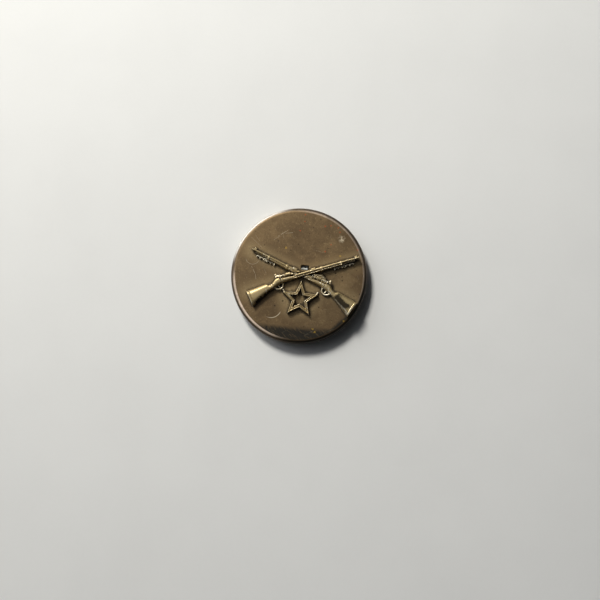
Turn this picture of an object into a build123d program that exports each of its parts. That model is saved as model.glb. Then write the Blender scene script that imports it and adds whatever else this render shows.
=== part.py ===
from build123d import *
import math
import os

# Screw-back cap badge: a round brass disc with crossed rifles and a star on its face, and a
# threaded post with a round nut on its back. Millimetres. +Z is up as worn, +X is to the right
# of somebody looking at the face, the face looks along -Y, and the origin is the centre of the
# back rim, which is the plane y = 0 where the disc meets the cloth.

os.makedirs("parts", exist_ok=True)

# ---- Disc shell: a drawn cup whose edge is turned in over a backing plate ----
DISC_DIAMETER = 25.4
DISC_DEPTH = 2.4
SHEET = 0.5
RIM_ROUNDING = 0.85
BACK_ROUNDING = 0.4
LIP_WIDTH = 1.6
LIP_THICKNESS = 0.45

# ---- Backing plate ----
PLATE_THICKNESS = 0.6
PLATE_GAP = 0.05

# ---- Slot in the face and the bent tab that stands in it ----
SLOT_WIDTH = 1.5
SLOT_HEIGHT = 0.9
SLOT_RIGHT_OF_EMBLEM = 0.4
SLOT_ABOVE_EMBLEM = 1.55
TAB_THICKNESS = 0.5
TAB_SIDE_GAP = 0.08
TAB_RIGHT_GAP = 0.28
TAB_SINK = 0.12
TAB_FOOT_LENGTH = 1.6
TAB_FOOT_THICKNESS = 0.3

# ---- Emblem: both rifles share one profile, measured from the heel of the butt ----
EMBLEM_RIGHT = 0.6
RIFLE_ANGLE = 21.6
SOLDER_FILM = 0.08
RIFLE_LENGTH = 21.8
FRONT_CROSSING = 10.75
REAR_CROSSING = 11.35
FRONT_STOCK_HEIGHT = 1.05
REAR_STOCK_HEIGHT = 0.8
LAP_HEIGHT = 0.4
LAP_GAP = 0.03
BUTT_DEPTH = 3.12
FOREARM_TOP = 0.5
FOREARM_BOTTOM = -0.26
STOCK_SHORT_OF_MUZZLE = 3.4
STOCK_EDGE = 0.16
OUTLINE_ROUNDING = 0.22
BARREL_RADIUS = 0.27
BARREL_LINE = 0.27
BARREL_RISE = 0.02
RECEIVER_START = 6.5
RECEIVER_END = 10.0
RECEIVER_RADIUS = 0.42
RECEIVER_LINE = 0.92
REAR_SLEEVE = ((6.9, 1.25), (7.3, 1.6), (8.1, 1.85), (9.2, 1.25), (9.7, 0.8), (6.9, 0.8))
REAR_SLEEVE_HEIGHT = 0.85
BAND_WIDTH = 0.34
BANDS_FROM_MUZZLE = (7.2, 3.5)
BAND_PROUD = 0.09
SIGHT_FROM_MUZZLE = 0.5
SIGHT_LENGTH = 0.45
SIGHT_TOP = 0.82
SIGHT_HEIGHT_SHARE = 0.9
KNOB_RADIUS = 0.3
KNOB_PLACE = (6.1, 1.36)
BOLT_HANDLE_ROOT = (7.0, 0.95)
BOLT_HANDLE_RADIUS = 0.15
GUARD_PLACE = (6.1, -0.62)
GUARD_RADIUS = 0.95
GUARD_WIRE = 0.3
GUARD_HEIGHT = 0.45
TRIGGER_PLACE = (6.2, -0.75)
TRIGGER_WIDTH = 0.2
TRIGGER_LENGTH = 0.75
TRIGGER_LEAN = -25
TRIGGER_HEIGHT = 0.36
SWIVEL_FROM_MUZZLE = 3.0
SWIVEL_RADIUS = 0.34
SWIVEL_HOLE_RADIUS = 0.142
SWIVEL_SINK = 0.07
SWIVEL_HEIGHT = 0.4
BEAD_RADIUS = 0.17
BEAD_ROW_SHARES = (0.557, 0.882)
BEAD_COUNT = 6
BEAD_LINE = -0.62
BEAD_WEB_HEIGHT = 0.3

# ---- Star below the crossing ----
STAR_RADIUS = 3.55
STAR_INNER_SHARE = 0.44
STAR_BELOW_CROSSING = 4.4
STAR_HEIGHT = 0.85
STAR_BAND = 0.66
STAR_EDGE = 0.16
STAR_DISH = 0.28
TIE_PLACE_SHARE = 0.9
TIE_SINK = 0.1
TIE_LEAN = 20
TIE_WIDTH = 0.5
TIE_HEIGHT = 0.4
TIE_REACH = 0.62

# ---- Solder under the emblem and round the foot of the post ----
PAD_RADIUS = 0.55
PAD_FROM_BUTT = 1.6
PAD_DEPTH_SHARE = 0.38
STAR_PAD_SHARE = 0.72
POST_FILLET = 0.4

# ---- Screw post ----
THREAD_MAJOR_RADIUS = 1.42
THREAD_DEPTH = 0.26
THREAD_PITCH = 0.635
THREAD_ROOT_HALF = 0.25
THREAD_CREST_HALF = 0.06
THREAD_OVERLAP = 0.08
THREAD_FIT = 0.05
SHANK_LENGTH = 1.0
SHANK_PROUD_OF_THREAD = 0.03
TENON_STEP = 0.3
POST_LENGTH = 8.4
POST_FLANGE_RADIUS = 3.2
POST_LEAD_CHAMFER = 0.3

# ---- Nut: a drawn round plate on a threaded hub, and a small washer round the hub's front end ----
NUT_GAP_AT_REST = 1.0
NUT_CLOSES_BY = 0.8
NUT_RADIUS = 8.0
NUT_SHEET = 0.7
NUT_DISH_RADIUS = 4.6
NUT_DISH_DEPTH = 0.55
NUT_NOTCHES = 48
NUT_NOTCH_RADIUS = 0.2
HUB_RADIUS = 2.45
HUB_SHOULDER_RADIUS = 3.1
HUB_SHOULDER_THICKNESS = 0.6
HUB_LENGTH = 3.2
TAP_OVERRUN = 2.0
COUNTERBORE_GAP = 0.13
SEAM_TURN = 37
WASHER_RADIUS = 3.9
WASHER_THICKNESS = 0.35
WASHER_FIT = 0.06

# ---- Worked out from the sizes above ----
DISC_RADIUS = DISC_DIAMETER / 2
FACE_Y = -DISC_DEPTH
PLATE_BACK_Y = -LIP_THICKNESS
PLATE_FRONT_Y = PLATE_BACK_Y - PLATE_THICKNESS
SHANK_RADIUS = THREAD_MAJOR_RADIUS + SHANK_PROUD_OF_THREAD
THREAD_MINOR_RADIUS = THREAD_MAJOR_RADIUS - THREAD_DEPTH
SLOT_X = EMBLEM_RIGHT + SLOT_RIGHT_OF_EMBLEM
SLOT_Z = SLOT_ABOVE_EMBLEM
EMBLEM_BACK_Y = FACE_Y - SOLDER_FILM
TENON_RADIUS = SHANK_RADIUS - TENON_STEP
THREAD_START = SHANK_LENGTH - THREAD_PITCH / 2
STOCK_END = RIFLE_LENGTH - STOCK_SHORT_OF_MUZZLE
BAND_PLACES = tuple(RIFLE_LENGTH - back for back in BANDS_FROM_MUZZLE)
SIGHT_PLACE = RIFLE_LENGTH - SIGHT_FROM_MUZZLE
SWIVEL_PLACE = RIFLE_LENGTH - SWIVEL_FROM_MUZZLE
FORE_LENGTH = RIFLE_LENGTH - FRONT_CROSSING
BEAD_START = FRONT_CROSSING + BEAD_ROW_SHARES[0] * FORE_LENGTH
BEAD_END = FRONT_CROSSING + BEAD_ROW_SHARES[1] * FORE_LENGTH

# The post stands along +Y. Its pieces are turned up along +Z and then laid over.
ALONG_Y = Rot(-90, 0, 0)
FROM_BASE = (Align.CENTER, Align.CENTER, Align.MIN)


def emblem_plane(turn):
    """The plane of the emblem's back: x along a rifle, y across it, z out of the face."""
    across = math.radians(turn)
    return Plane(
        origin=(EMBLEM_RIGHT, EMBLEM_BACK_Y, 0),
        x_dir=(math.cos(across), 0, math.sin(across)),
        z_dir=(0, -1, 0),
    )


def disc_shell():
    """The drawn cup: flat face, rounded rim, straight wall and an edge turned in at the back."""
    outer_line = Polyline((0, FACE_Y), (DISC_RADIUS - RIM_ROUNDING, FACE_Y))
    outer_line += RadiusArc(
        (DISC_RADIUS - RIM_ROUNDING, FACE_Y), (DISC_RADIUS, FACE_Y + RIM_ROUNDING), -RIM_ROUNDING
    )
    outer_line += Line((DISC_RADIUS, FACE_Y + RIM_ROUNDING), (DISC_RADIUS, -BACK_ROUNDING))
    outer_line += RadiusArc(
        (DISC_RADIUS, -BACK_ROUNDING), (DISC_RADIUS - BACK_ROUNDING, 0), -BACK_ROUNDING
    )
    outer_line += Polyline((DISC_RADIUS - BACK_ROUNDING, 0), (0, 0), (0, FACE_Y))
    solid_cup = revolve(make_face(outer_line), axis=Axis.Y)
    inner_radius = DISC_RADIUS - SHEET
    inner_rounding = RIM_ROUNDING - SHEET
    inside_face = FACE_Y + SHEET
    hollow_line = Line((0, inside_face), (inner_radius - inner_rounding, inside_face))
    hollow_line += RadiusArc(
        (inner_radius - inner_rounding, inside_face),
        (inner_radius, inside_face + inner_rounding),
        -inner_rounding,
    )
    hollow_line += Polyline(
        (inner_radius, inside_face + inner_rounding), (inner_radius, -LIP_THICKNESS),
        (0, -LIP_THICKNESS), (0, inside_face),
    )
    hollow = revolve(make_face(hollow_line), axis=Axis.Y)
    mouth = ALONG_Y * Cylinder(DISC_RADIUS - LIP_WIDTH, 2 * LIP_THICKNESS)
    slot = Pos(SLOT_X, FACE_Y, SLOT_Z) * Box(SLOT_WIDTH, 3 * SHEET, SLOT_HEIGHT)
    slot = fillet(slot.edges().filter_by(Axis.Y), SLOT_HEIGHT / 6)
    return solid_cup - hollow - mouth - slot


def backing_plate():
    """The flat disc inside the cup, held by the turned-in edge and bored for the post."""
    plate = Cylinder(DISC_RADIUS - SHEET - PLATE_GAP, PLATE_THICKNESS, align=FROM_BASE)
    plate -= Cylinder(TENON_RADIUS, 3 * PLATE_THICKNESS)
    return Pos(0, PLATE_FRONT_Y, 0) * ALONG_Y * plate


def locating_tab():
    """The bent strip that stands on the backing plate and fills the lower left of the slot."""
    width = SLOT_WIDTH - TAB_SIDE_GAP - TAB_RIGHT_GAP
    middle = SLOT_X + (TAB_SIDE_GAP - TAB_RIGHT_GAP) / 2
    low = SLOT_Z - SLOT_HEIGHT / 2 + TAB_SIDE_GAP
    top_y = FACE_Y + TAB_SINK
    from_corner = (Align.CENTER, Align.MIN, Align.MIN)
    riser = Pos(middle, top_y, low) * Box(width, PLATE_FRONT_Y - top_y, TAB_THICKNESS, align=from_corner)
    bend = riser.edges().filter_by(Axis.X).group_by(Axis.Y)[0].sort_by(Axis.Z)[-1]
    riser = fillet(bend, TAB_THICKNESS * 0.8)
    foot = Pos(middle, PLATE_FRONT_Y - TAB_FOOT_THICKNESS, low) * Box(
        width, TAB_FOOT_THICKNESS, TAB_FOOT_LENGTH, align=from_corner
    )
    return riser + foot


def stock_outline():
    """The stock seen from its side, with the heel of the butt at the origin and the bore along x."""
    heel = (0, 0.1)
    toe = (0.42, 0.1 - BUTT_DEPTH)
    corners = [
        heel, (3.9, 0.36), (4.4, 0.0), (5.0, 0.1), (5.8, 0.8), (6.6, 1.02), (7.4, 0.9),
        (RECEIVER_END, FOREARM_TOP), (STOCK_END, FOREARM_TOP), (STOCK_END, FOREARM_BOTTOM),
        (9.9, FOREARM_BOTTOM), (7.3, -0.34), (4.9, -0.95), toe,
    ]
    outline = make_face(Polyline(*corners, close=True))
    rounded = outline.vertices().filter_by(lambda v: 0.5 < v.X < STOCK_END - 1)
    return fillet(rounded, OUTLINE_ROUNDING)


def bead_row():
    """The row of small beads that hangs under the fore-end on a thin web."""
    step = (BEAD_END - BEAD_START) / (BEAD_COUNT - 1)
    top = FOREARM_BOTTOM + BARREL_RADIUS
    web = Pos((BEAD_START + BEAD_END) / 2, (BEAD_LINE + top) / 2, 0) * Box(
        BEAD_END - BEAD_START, top - BEAD_LINE, BEAD_WEB_HEIGHT, align=FROM_BASE
    )
    for index in range(BEAD_COUNT):
        bead = Cylinder(BEAD_RADIUS, BEAD_WEB_HEIGHT + BEAD_RADIUS, align=FROM_BASE)
        web += Pos(BEAD_START + index * step, BEAD_LINE, 0) * bead
    return web


def trigger_guard():
    """The loop under the wrist with a curved trigger inside it."""
    loop = Cylinder(GUARD_RADIUS, GUARD_HEIGHT, align=FROM_BASE)
    loop = Pos(*GUARD_PLACE, 0) * (loop - Cylinder(GUARD_RADIUS - GUARD_WIRE, 3 * GUARD_HEIGHT))
    trigger = Pos(*TRIGGER_PLACE, 0) * Rot(0, 0, TRIGGER_LEAN) * Box(
        TRIGGER_WIDTH, TRIGGER_LENGTH, TRIGGER_HEIGHT, align=FROM_BASE
    )
    return loop + trigger


def swivel():
    """The sling swivel under the front band: a small half ring."""
    ring = Cylinder(SWIVEL_RADIUS, SWIVEL_HEIGHT, align=FROM_BASE)
    ring -= Cylinder(SWIVEL_HOLE_RADIUS, 3 * SWIVEL_HEIGHT)
    return Pos(SWIVEL_PLACE, FOREARM_BOTTOM - SWIVEL_RADIUS + SWIVEL_SINK, 0) * ring


def bolt_and_knob(base):
    """The bolt handle that runs back and up from the receiver to its round knob."""
    reach_x = KNOB_PLACE[0] - BOLT_HANDLE_ROOT[0]
    reach_y = KNOB_PLACE[1] - BOLT_HANDLE_ROOT[1]
    reach = math.hypot(reach_x, reach_y)
    lean = math.degrees(math.atan2(reach_y, reach_x))
    handle = Pos(*BOLT_HANDLE_ROOT, 0) * Rot(0, 0, lean) * Pos(reach / 2, 0, 0) * Box(
        reach, 2 * BOLT_HANDLE_RADIUS, base, align=FROM_BASE
    )
    stem = Pos(*KNOB_PLACE, 0) * Cylinder(KNOB_RADIUS, base - KNOB_RADIUS, align=FROM_BASE)
    ball = Pos(*KNOB_PLACE, base - KNOB_RADIUS) * Sphere(KNOB_RADIUS)
    return handle + stem + ball


def round_bar(start, end, line, rise, radius):
    """A bar along x that is round on top and goes straight down to the emblem's back."""
    top = Pos(start, line, rise) * Rot(0, 90, 0) * Cylinder(radius, end - start, align=FROM_BASE)
    below = Pos((start + end) / 2, line, 0) * Box(end - start, 2 * radius, rise, align=FROM_BASE)
    return top + below


def rifle(height):
    """One rifle in its own plane, with its back at z = 0 and its stock of the given height."""
    body = extrude(stock_outline(), amount=height)
    body = chamfer(body.edges().group_by(Axis.Z)[-1], STOCK_EDGE)
    body += round_bar(RECEIVER_END - 0.4, RIFLE_LENGTH, BARREL_LINE, height + BARREL_RISE, BARREL_RADIUS)
    body += round_bar(
        RECEIVER_START, RECEIVER_END, RECEIVER_LINE, height - RECEIVER_RADIUS / 3, RECEIVER_RADIUS
    )
    band_low = FOREARM_BOTTOM - BAND_PROUD
    band_high = BARREL_LINE + BARREL_RADIUS + BAND_PROUD
    band_top = height + BARREL_RISE + BARREL_RADIUS + BAND_PROUD
    for place in BAND_PLACES:
        band = Pos(place, (band_low + band_high) / 2, 0) * Box(
            BAND_WIDTH, band_high - band_low, band_top, align=FROM_BASE
        )
        body += chamfer(band.edges().filter_by(Axis.X).group_by(Axis.Z)[-1], 2.4 * BAND_PROUD)
    sight = Pos(SIGHT_PLACE, (BARREL_LINE + SIGHT_TOP) / 2, 0) * Box(
        SIGHT_LENGTH, SIGHT_TOP - BARREL_LINE, height * SIGHT_HEIGHT_SHARE, align=FROM_BASE
    )
    body += sight
    body += bolt_and_knob(height)
    body += trigger_guard()
    body += swivel()
    body += bead_row()
    return body


def lapped_rifles():
    """Both rifles on the face, halved over each other where they cross; the rear one has a bolt sleeve."""
    front_plane = emblem_plane(RIFLE_ANGLE)
    rear_plane = emblem_plane(-RIFLE_ANGLE)
    front = front_plane * (Pos(-FRONT_CROSSING, 0, 0) * rifle(FRONT_STOCK_HEIGHT))
    sleeve = extrude(make_face(Polyline(*REAR_SLEEVE, close=True)), amount=REAR_SLEEVE_HEIGHT)
    sleeved = rifle(REAR_STOCK_HEIGHT) + sleeve
    rear_local = mirror(Pos(-REAR_CROSSING, 0, 0) * sleeved, about=Plane.YZ)
    rear = rear_plane * rear_local
    low = FOREARM_BOTTOM - BAND_PROUD - LAP_GAP
    high = RECEIVER_LINE + RECEIVER_RADIUS + LAP_GAP
    lap_zone = Pos(0, (low + high) / 2, 0) * Box(
        3 * BUTT_DEPTH, high - low, 3 * FRONT_STOCK_HEIGHT, align=FROM_BASE
    )
    rear -= front_plane * (Pos(0, 0, LAP_HEIGHT - LAP_GAP) * lap_zone)
    under_zone = Pos(0, (low + high) / 2, -1) * Box(
        3 * BUTT_DEPTH, high - low, LAP_HEIGHT + 1, align=FROM_BASE
    )
    front -= rear_plane * under_zone
    return front, rear


def star_points(outer, share):
    """The ten corners of a five-pointed star with one point up."""
    corners = []
    for index in range(10):
        radius = outer if index % 2 == 0 else outer * share
        turn = math.radians(90 + 36 * index)
        corners.append((radius * math.cos(turn), radius * math.sin(turn)))
    return corners


def star_inset(width):
    """How much shorter a star's tips are when every edge moves in by the given width."""
    notch = math.radians(36)
    edge_length = math.sqrt(1 + STAR_INNER_SHARE**2 - 2 * STAR_INNER_SHARE * math.cos(notch))
    return width * edge_length / (STAR_INNER_SHARE * math.sin(notch))


def star_face(outer):
    """A flat star with its tips at the given radius."""
    return make_face(Polyline(*star_points(outer, STAR_INNER_SHARE), close=True))


def star():
    """A pierced star: a band with raised edges and a dished middle, and two short tie bars."""
    opening_radius = STAR_RADIUS - star_inset(STAR_BAND)
    dish_outer = star_face(STAR_RADIUS - star_inset(STAR_EDGE))
    dish_inner = star_face(opening_radius + star_inset(STAR_EDGE))
    band = extrude(star_face(STAR_RADIUS) - star_face(opening_radius), amount=STAR_HEIGHT)
    dish = extrude(Pos(0, 0, STAR_HEIGHT - STAR_DISH) * (dish_outer - dish_inner), amount=STAR_DISH)
    piece = band - dish
    arm = math.radians(18)
    tie_x = STAR_RADIUS * math.cos(arm) * TIE_PLACE_SHARE
    tie_y = STAR_RADIUS * math.sin(arm) - TIE_SINK
    for side in (-1, 1):
        tie = Box(TIE_WIDTH, TIE_REACH, TIE_HEIGHT, align=(Align.CENTER, Align.MIN, Align.MIN))
        piece += Pos(side * tie_x, tie_y, 0) * Rot(0, 0, -side * TIE_LEAN) * tie
    return emblem_plane(0) * (Pos(0, -STAR_BELOW_CROSSING, 0) * piece)


def solder_pads():
    """Flat films of solder between the emblem and the face: at each butt, fore-end and star leg."""
    pad = Pos(0, 0, -SOLDER_FILM) * Cylinder(PAD_RADIUS, SOLDER_FILM, align=FROM_BASE)
    small = Pos(0, 0, -SOLDER_FILM) * Cylinder(BARREL_RADIUS, SOLDER_FILM, align=FROM_BASE)
    pads = []
    for side, crossing in ((1, FRONT_CROSSING), (-1, REAR_CROSSING)):
        plane = emblem_plane(side * RIFLE_ANGLE)
        butt_x = side * (PAD_FROM_BUTT - crossing)
        pads.append(plane * (Pos(butt_x, -BUTT_DEPTH * PAD_DEPTH_SHARE, 0) * pad))
        band_x = side * (BAND_PLACES[1] - crossing)
        pads.append(plane * (Pos(band_x, (FOREARM_TOP + FOREARM_BOTTOM) / 2, 0) * small))
    star_centre = emblem_plane(0)
    for turn in (90, 234, 306):
        leg = math.radians(turn)
        reach = STAR_RADIUS * STAR_PAD_SHARE
        place = Pos(reach * math.cos(leg), reach * math.sin(leg) - STAR_BELOW_CROSSING, 0)
        pads.append(star_centre * (place * small))
    return Compound(children=[item.solid() for item in pads])


def thread_ridge(root_radius, crest_radius, root_half, crest_half, length, start):
    """A ridge of trapezium section carried along a right-hand helix about +Z."""
    path = Helix(pitch=THREAD_PITCH, height=length, radius=root_radius, center=(0, 0, start))
    section_plane = Plane(origin=path @ 0, x_dir=(1, 0, 0), z_dir=(0, -1, 0))
    depth = crest_radius - root_radius
    section = section_plane * Polygon(
        (-THREAD_OVERLAP, -root_half), (depth, -crest_half),
        (depth, crest_half), (-THREAD_OVERLAP, root_half),
        align=None,
    )
    return sweep(section, path=path, is_frenet=True)


def screw_post():
    """The post: a tenon in the plate, a round foot, a plain shank through the cloth and a threaded end."""
    foot_edge = LIP_THICKNESS / 3
    half_section = Polyline(
        (0, PLATE_FRONT_Y), (TENON_RADIUS, PLATE_FRONT_Y), (TENON_RADIUS, PLATE_BACK_Y),
        (POST_FLANGE_RADIUS, PLATE_BACK_Y), (POST_FLANGE_RADIUS, -foot_edge),
        (POST_FLANGE_RADIUS - foot_edge, 0), (SHANK_RADIUS, 0), (SHANK_RADIUS, SHANK_LENGTH),
        (THREAD_MINOR_RADIUS, SHANK_LENGTH), (THREAD_MINOR_RADIUS, POST_LENGTH - POST_LEAD_CHAMFER),
        (THREAD_MINOR_RADIUS - POST_LEAD_CHAMFER, POST_LENGTH), (0, POST_LENGTH),
        close=True,
    )
    turned = Rot(0, SEAM_TURN, 0) * revolve(make_face(half_section), axis=Axis.Y)
    thread_length = POST_LENGTH - POST_LEAD_CHAMFER - THREAD_ROOT_HALF - THREAD_START
    ridge = thread_ridge(
        THREAD_MINOR_RADIUS, THREAD_MAJOR_RADIUS, THREAD_ROOT_HALF, THREAD_CREST_HALF,
        thread_length, THREAD_START,
    )
    return turned + ALONG_Y * ridge


def post_solder():
    """The ring of solder that fills the corner between the foot and the shank."""
    corner = Polyline((SHANK_RADIUS, 0), (SHANK_RADIUS + POST_FILLET, 0))
    corner += RadiusArc((SHANK_RADIUS + POST_FILLET, 0), (SHANK_RADIUS, POST_FILLET), POST_FILLET)
    corner += Line((SHANK_RADIUS, POST_FILLET), (SHANK_RADIUS, 0))
    return revolve(make_face(corner), axis=Axis.Y)


def nut_plate():
    """The round plate of the nut: a notched edge, and a middle dished away from the cloth."""
    outer = NUT_GAP_AT_REST + NUT_SHEET
    line = Polyline(
        (HUB_RADIUS, NUT_GAP_AT_REST + NUT_DISH_DEPTH),
        (NUT_DISH_RADIUS - NUT_DISH_DEPTH, NUT_GAP_AT_REST + NUT_DISH_DEPTH),
        (NUT_DISH_RADIUS, NUT_GAP_AT_REST),
        (NUT_RADIUS, NUT_GAP_AT_REST),
        (NUT_RADIUS, outer),
        (NUT_DISH_RADIUS, outer),
        (NUT_DISH_RADIUS - NUT_DISH_DEPTH, outer + NUT_DISH_DEPTH),
        (HUB_RADIUS, outer + NUT_DISH_DEPTH),
        close=True,
    )
    plate = revolve(make_face(line), axis=Axis.Y)
    notch = ALONG_Y * Cylinder(NUT_NOTCH_RADIUS, 4 * NUT_SHEET)
    middle_y = NUT_GAP_AT_REST + NUT_SHEET / 2
    notches = [
        Rot(0, 360 * index / NUT_NOTCHES, 0) * Pos(NUT_RADIUS, middle_y, 0) * notch
        for index in range(NUT_NOTCHES)
    ]
    return plate - notches


def hub_base():
    """How far behind the back rim the front end of the hub stands."""
    return NUT_GAP_AT_REST + NUT_DISH_DEPTH - WASHER_THICKNESS - WASHER_FIT


def nut_hub():
    """The threaded bush of the nut: a shoulder behind the plate and a counterbore for the shank."""
    base = hub_base()
    body = Pos(0, 0, base) * Cylinder(HUB_RADIUS, HUB_LENGTH, align=FROM_BASE)
    shoulder_base = NUT_GAP_AT_REST + NUT_DISH_DEPTH + NUT_SHEET
    shoulder = Pos(0, 0, shoulder_base) * Cylinder(
        HUB_SHOULDER_RADIUS, HUB_SHOULDER_THICKNESS, align=FROM_BASE
    )
    body += chamfer(shoulder.edges().group_by(Axis.Z)[-1], HUB_SHOULDER_THICKNESS / 3)
    body = Rot(0, 0, SEAM_TURN) * body
    bore_radius = THREAD_MINOR_RADIUS + THREAD_FIT
    crest_radius = THREAD_MAJOR_RADIUS + THREAD_FIT
    tap = Pos(0, 0, base - TAP_OVERRUN) * Cylinder(
        bore_radius, HUB_LENGTH + 2 * TAP_OVERRUN, align=FROM_BASE
    )
    turns_before = math.ceil((THREAD_START - base) / THREAD_PITCH) + 1
    turns = turns_before + math.ceil((base + HUB_LENGTH - THREAD_START) / THREAD_PITCH) + 1
    tap += thread_ridge(
        bore_radius, crest_radius, THREAD_ROOT_HALF + THREAD_FIT, THREAD_CREST_HALF + THREAD_FIT,
        turns * THREAD_PITCH, THREAD_START - turns_before * THREAD_PITCH,
    )
    counterbore = Cylinder(
        SHANK_RADIUS + COUNTERBORE_GAP, SHANK_LENGTH + NUT_CLOSES_BY + THREAD_FIT - base, align=FROM_BASE
    )
    return ALONG_Y * (body - tap - Pos(0, 0, base) * counterbore)


def hub_washer():
    """The small plain washer round the front end of the hub, against the plate."""
    ring = Cylinder(WASHER_RADIUS, WASHER_THICKNESS, align=FROM_BASE)
    ring -= Cylinder(HUB_RADIUS + WASHER_FIT, 3 * WASHER_THICKNESS)
    return ALONG_Y * (Pos(0, 0, hub_base()) * ring)


def write(name, solid):
    """Writes one piece under its own name."""
    export_step(solid, f"parts/{name}.step")


front_rifle, rear_rifle = lapped_rifles()
write("disc_shell", disc_shell())
write("backing_plate", backing_plate())
write("locating_tab", locating_tab())
write("front_rifle", front_rifle)
write("rear_rifle", rear_rifle)
write("star", star())
write("emblem_solder", solder_pads())
write("screw_post", screw_post())
write("post_solder", post_solder())
write("nut_plate", nut_plate())
write("nut_hub", nut_hub())
write("hub_washer", hub_washer())
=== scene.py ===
"""Screw-back cap badge: a tarnished brass disc with crossed rifles and a star, a threaded post and a nut.

Every piece is worked out in millimetres (+Z up as worn, the face towards -Y) and turned into metres when
its mesh is made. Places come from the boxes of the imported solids.
"""
import logging
import math
from dataclasses import dataclass, field
from enum import Enum
from functools import reduce
from typing import Any, Callable, Optional, Sequence

import bpy
import mathutils
import numpy as np
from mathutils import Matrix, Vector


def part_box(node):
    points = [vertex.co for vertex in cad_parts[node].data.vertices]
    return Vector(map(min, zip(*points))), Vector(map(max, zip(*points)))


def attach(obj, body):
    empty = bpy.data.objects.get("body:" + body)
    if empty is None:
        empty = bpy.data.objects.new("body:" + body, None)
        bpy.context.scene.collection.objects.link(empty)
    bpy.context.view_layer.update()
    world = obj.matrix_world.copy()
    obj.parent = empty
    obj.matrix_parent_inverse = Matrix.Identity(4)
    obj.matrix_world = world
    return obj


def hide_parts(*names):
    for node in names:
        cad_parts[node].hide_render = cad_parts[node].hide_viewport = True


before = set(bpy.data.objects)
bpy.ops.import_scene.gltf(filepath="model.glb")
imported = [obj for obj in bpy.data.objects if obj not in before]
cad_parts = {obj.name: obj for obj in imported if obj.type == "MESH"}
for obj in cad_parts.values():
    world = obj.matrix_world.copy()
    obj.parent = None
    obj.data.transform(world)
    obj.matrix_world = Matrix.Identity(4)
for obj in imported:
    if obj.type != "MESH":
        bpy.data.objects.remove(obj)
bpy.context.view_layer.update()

MM = 0.001
TURN = 2 * math.pi
GUARD_SHARE = 1.25
LOG = logging.getLogger("badge")
Colour = tuple[float, float, float]
Edge = tuple[tuple[float, float], ...]
Places = tuple[tuple[float, float], ...]


class Body(Enum):
    """The moving bodies that pieces ride on."""

    BADGE = "badge"
    WASHER = "washer"
    NUT = "nut"


class Slot(Enum):
    """The material slots."""

    DISC = "disc_brass"
    EMBLEM = "emblem_brass"
    BACK = "back_brass"
    NUT = "nut_brass"
    TAB = "tab_metal"
    SOLDER = "solder"


# ---------------------------------------------------------------- numbers and shapes


def smooth(x: np.ndarray, low: float, high: float) -> np.ndarray:
    """0 below low, 1 above high, and 3q^2 - 2q^3 between them.

    Args:
        x: where to work it out.
        low: where the rise starts.
        high: where it ends.

    Returns:
        The eased values, the shape of x.
    """
    q = np.clip((np.asarray(x, float) - low) / (high - low), 0, 1)
    return q * q * (3 - 2 * q)


def bump(x: np.ndarray, low: float, high: float, soft: float) -> np.ndarray:
    """1 between low and high, easing to 0 over soft outside each end.

    Args:
        x: where to work it out.
        low: start of the flat stretch.
        high: end of the flat stretch.
        soft: width of each flank.

    Returns:
        The values, the shape of x.
    """
    return smooth(x, low - soft, low) * (1 - smooth(x, high, high + soft))


def node_box(node: str) -> tuple[np.ndarray, np.ndarray]:
    """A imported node's lowest and highest corner in millimetres."""
    low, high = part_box(node)
    return np.array(low) / MM, np.array(high) / MM


def rounded_line(
    corners: Sequence[Sequence[float]], radii: Sequence[float], closed: bool, steps: int = 7
) -> np.ndarray:
    """A polyline whose corners are curves, with a point just short of each curve so that flats shade flat.

    Each corner with radius r is replaced by the quadratic curve from r before it to r after it.

    Args:
        corners: the corner points, (n, 2).
        radii: how far from each corner its curve starts.
        closed: whether the last corner joins the first.
        steps: points on each curve.

    Returns:
        The points, (m, 2).
    """
    points = np.array(corners, float)
    count = len(points)
    t = np.linspace(0, 1, steps)[:, None]
    line: list[np.ndarray] = []
    for i, (here, reach) in enumerate(zip(points, radii)):
        if reach <= 0 or (not closed and i in (0, count - 1)):
            line.append(here[None])
            continue
        sides = np.stack([points[i - 1], points[(i + 1) % count]]) - here
        sides *= reach / np.linalg.norm(sides, axis=1, keepdims=True)
        curve = (1 - t) ** 2 * (here + sides[0]) + 2 * t * (1 - t) * here + t**2 * (here + sides[1])
        line += [(here + sides[0] * GUARD_SHARE)[None], curve, (here + sides[1] * GUARD_SHARE)[None]]
    return np.concatenate(line)


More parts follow.
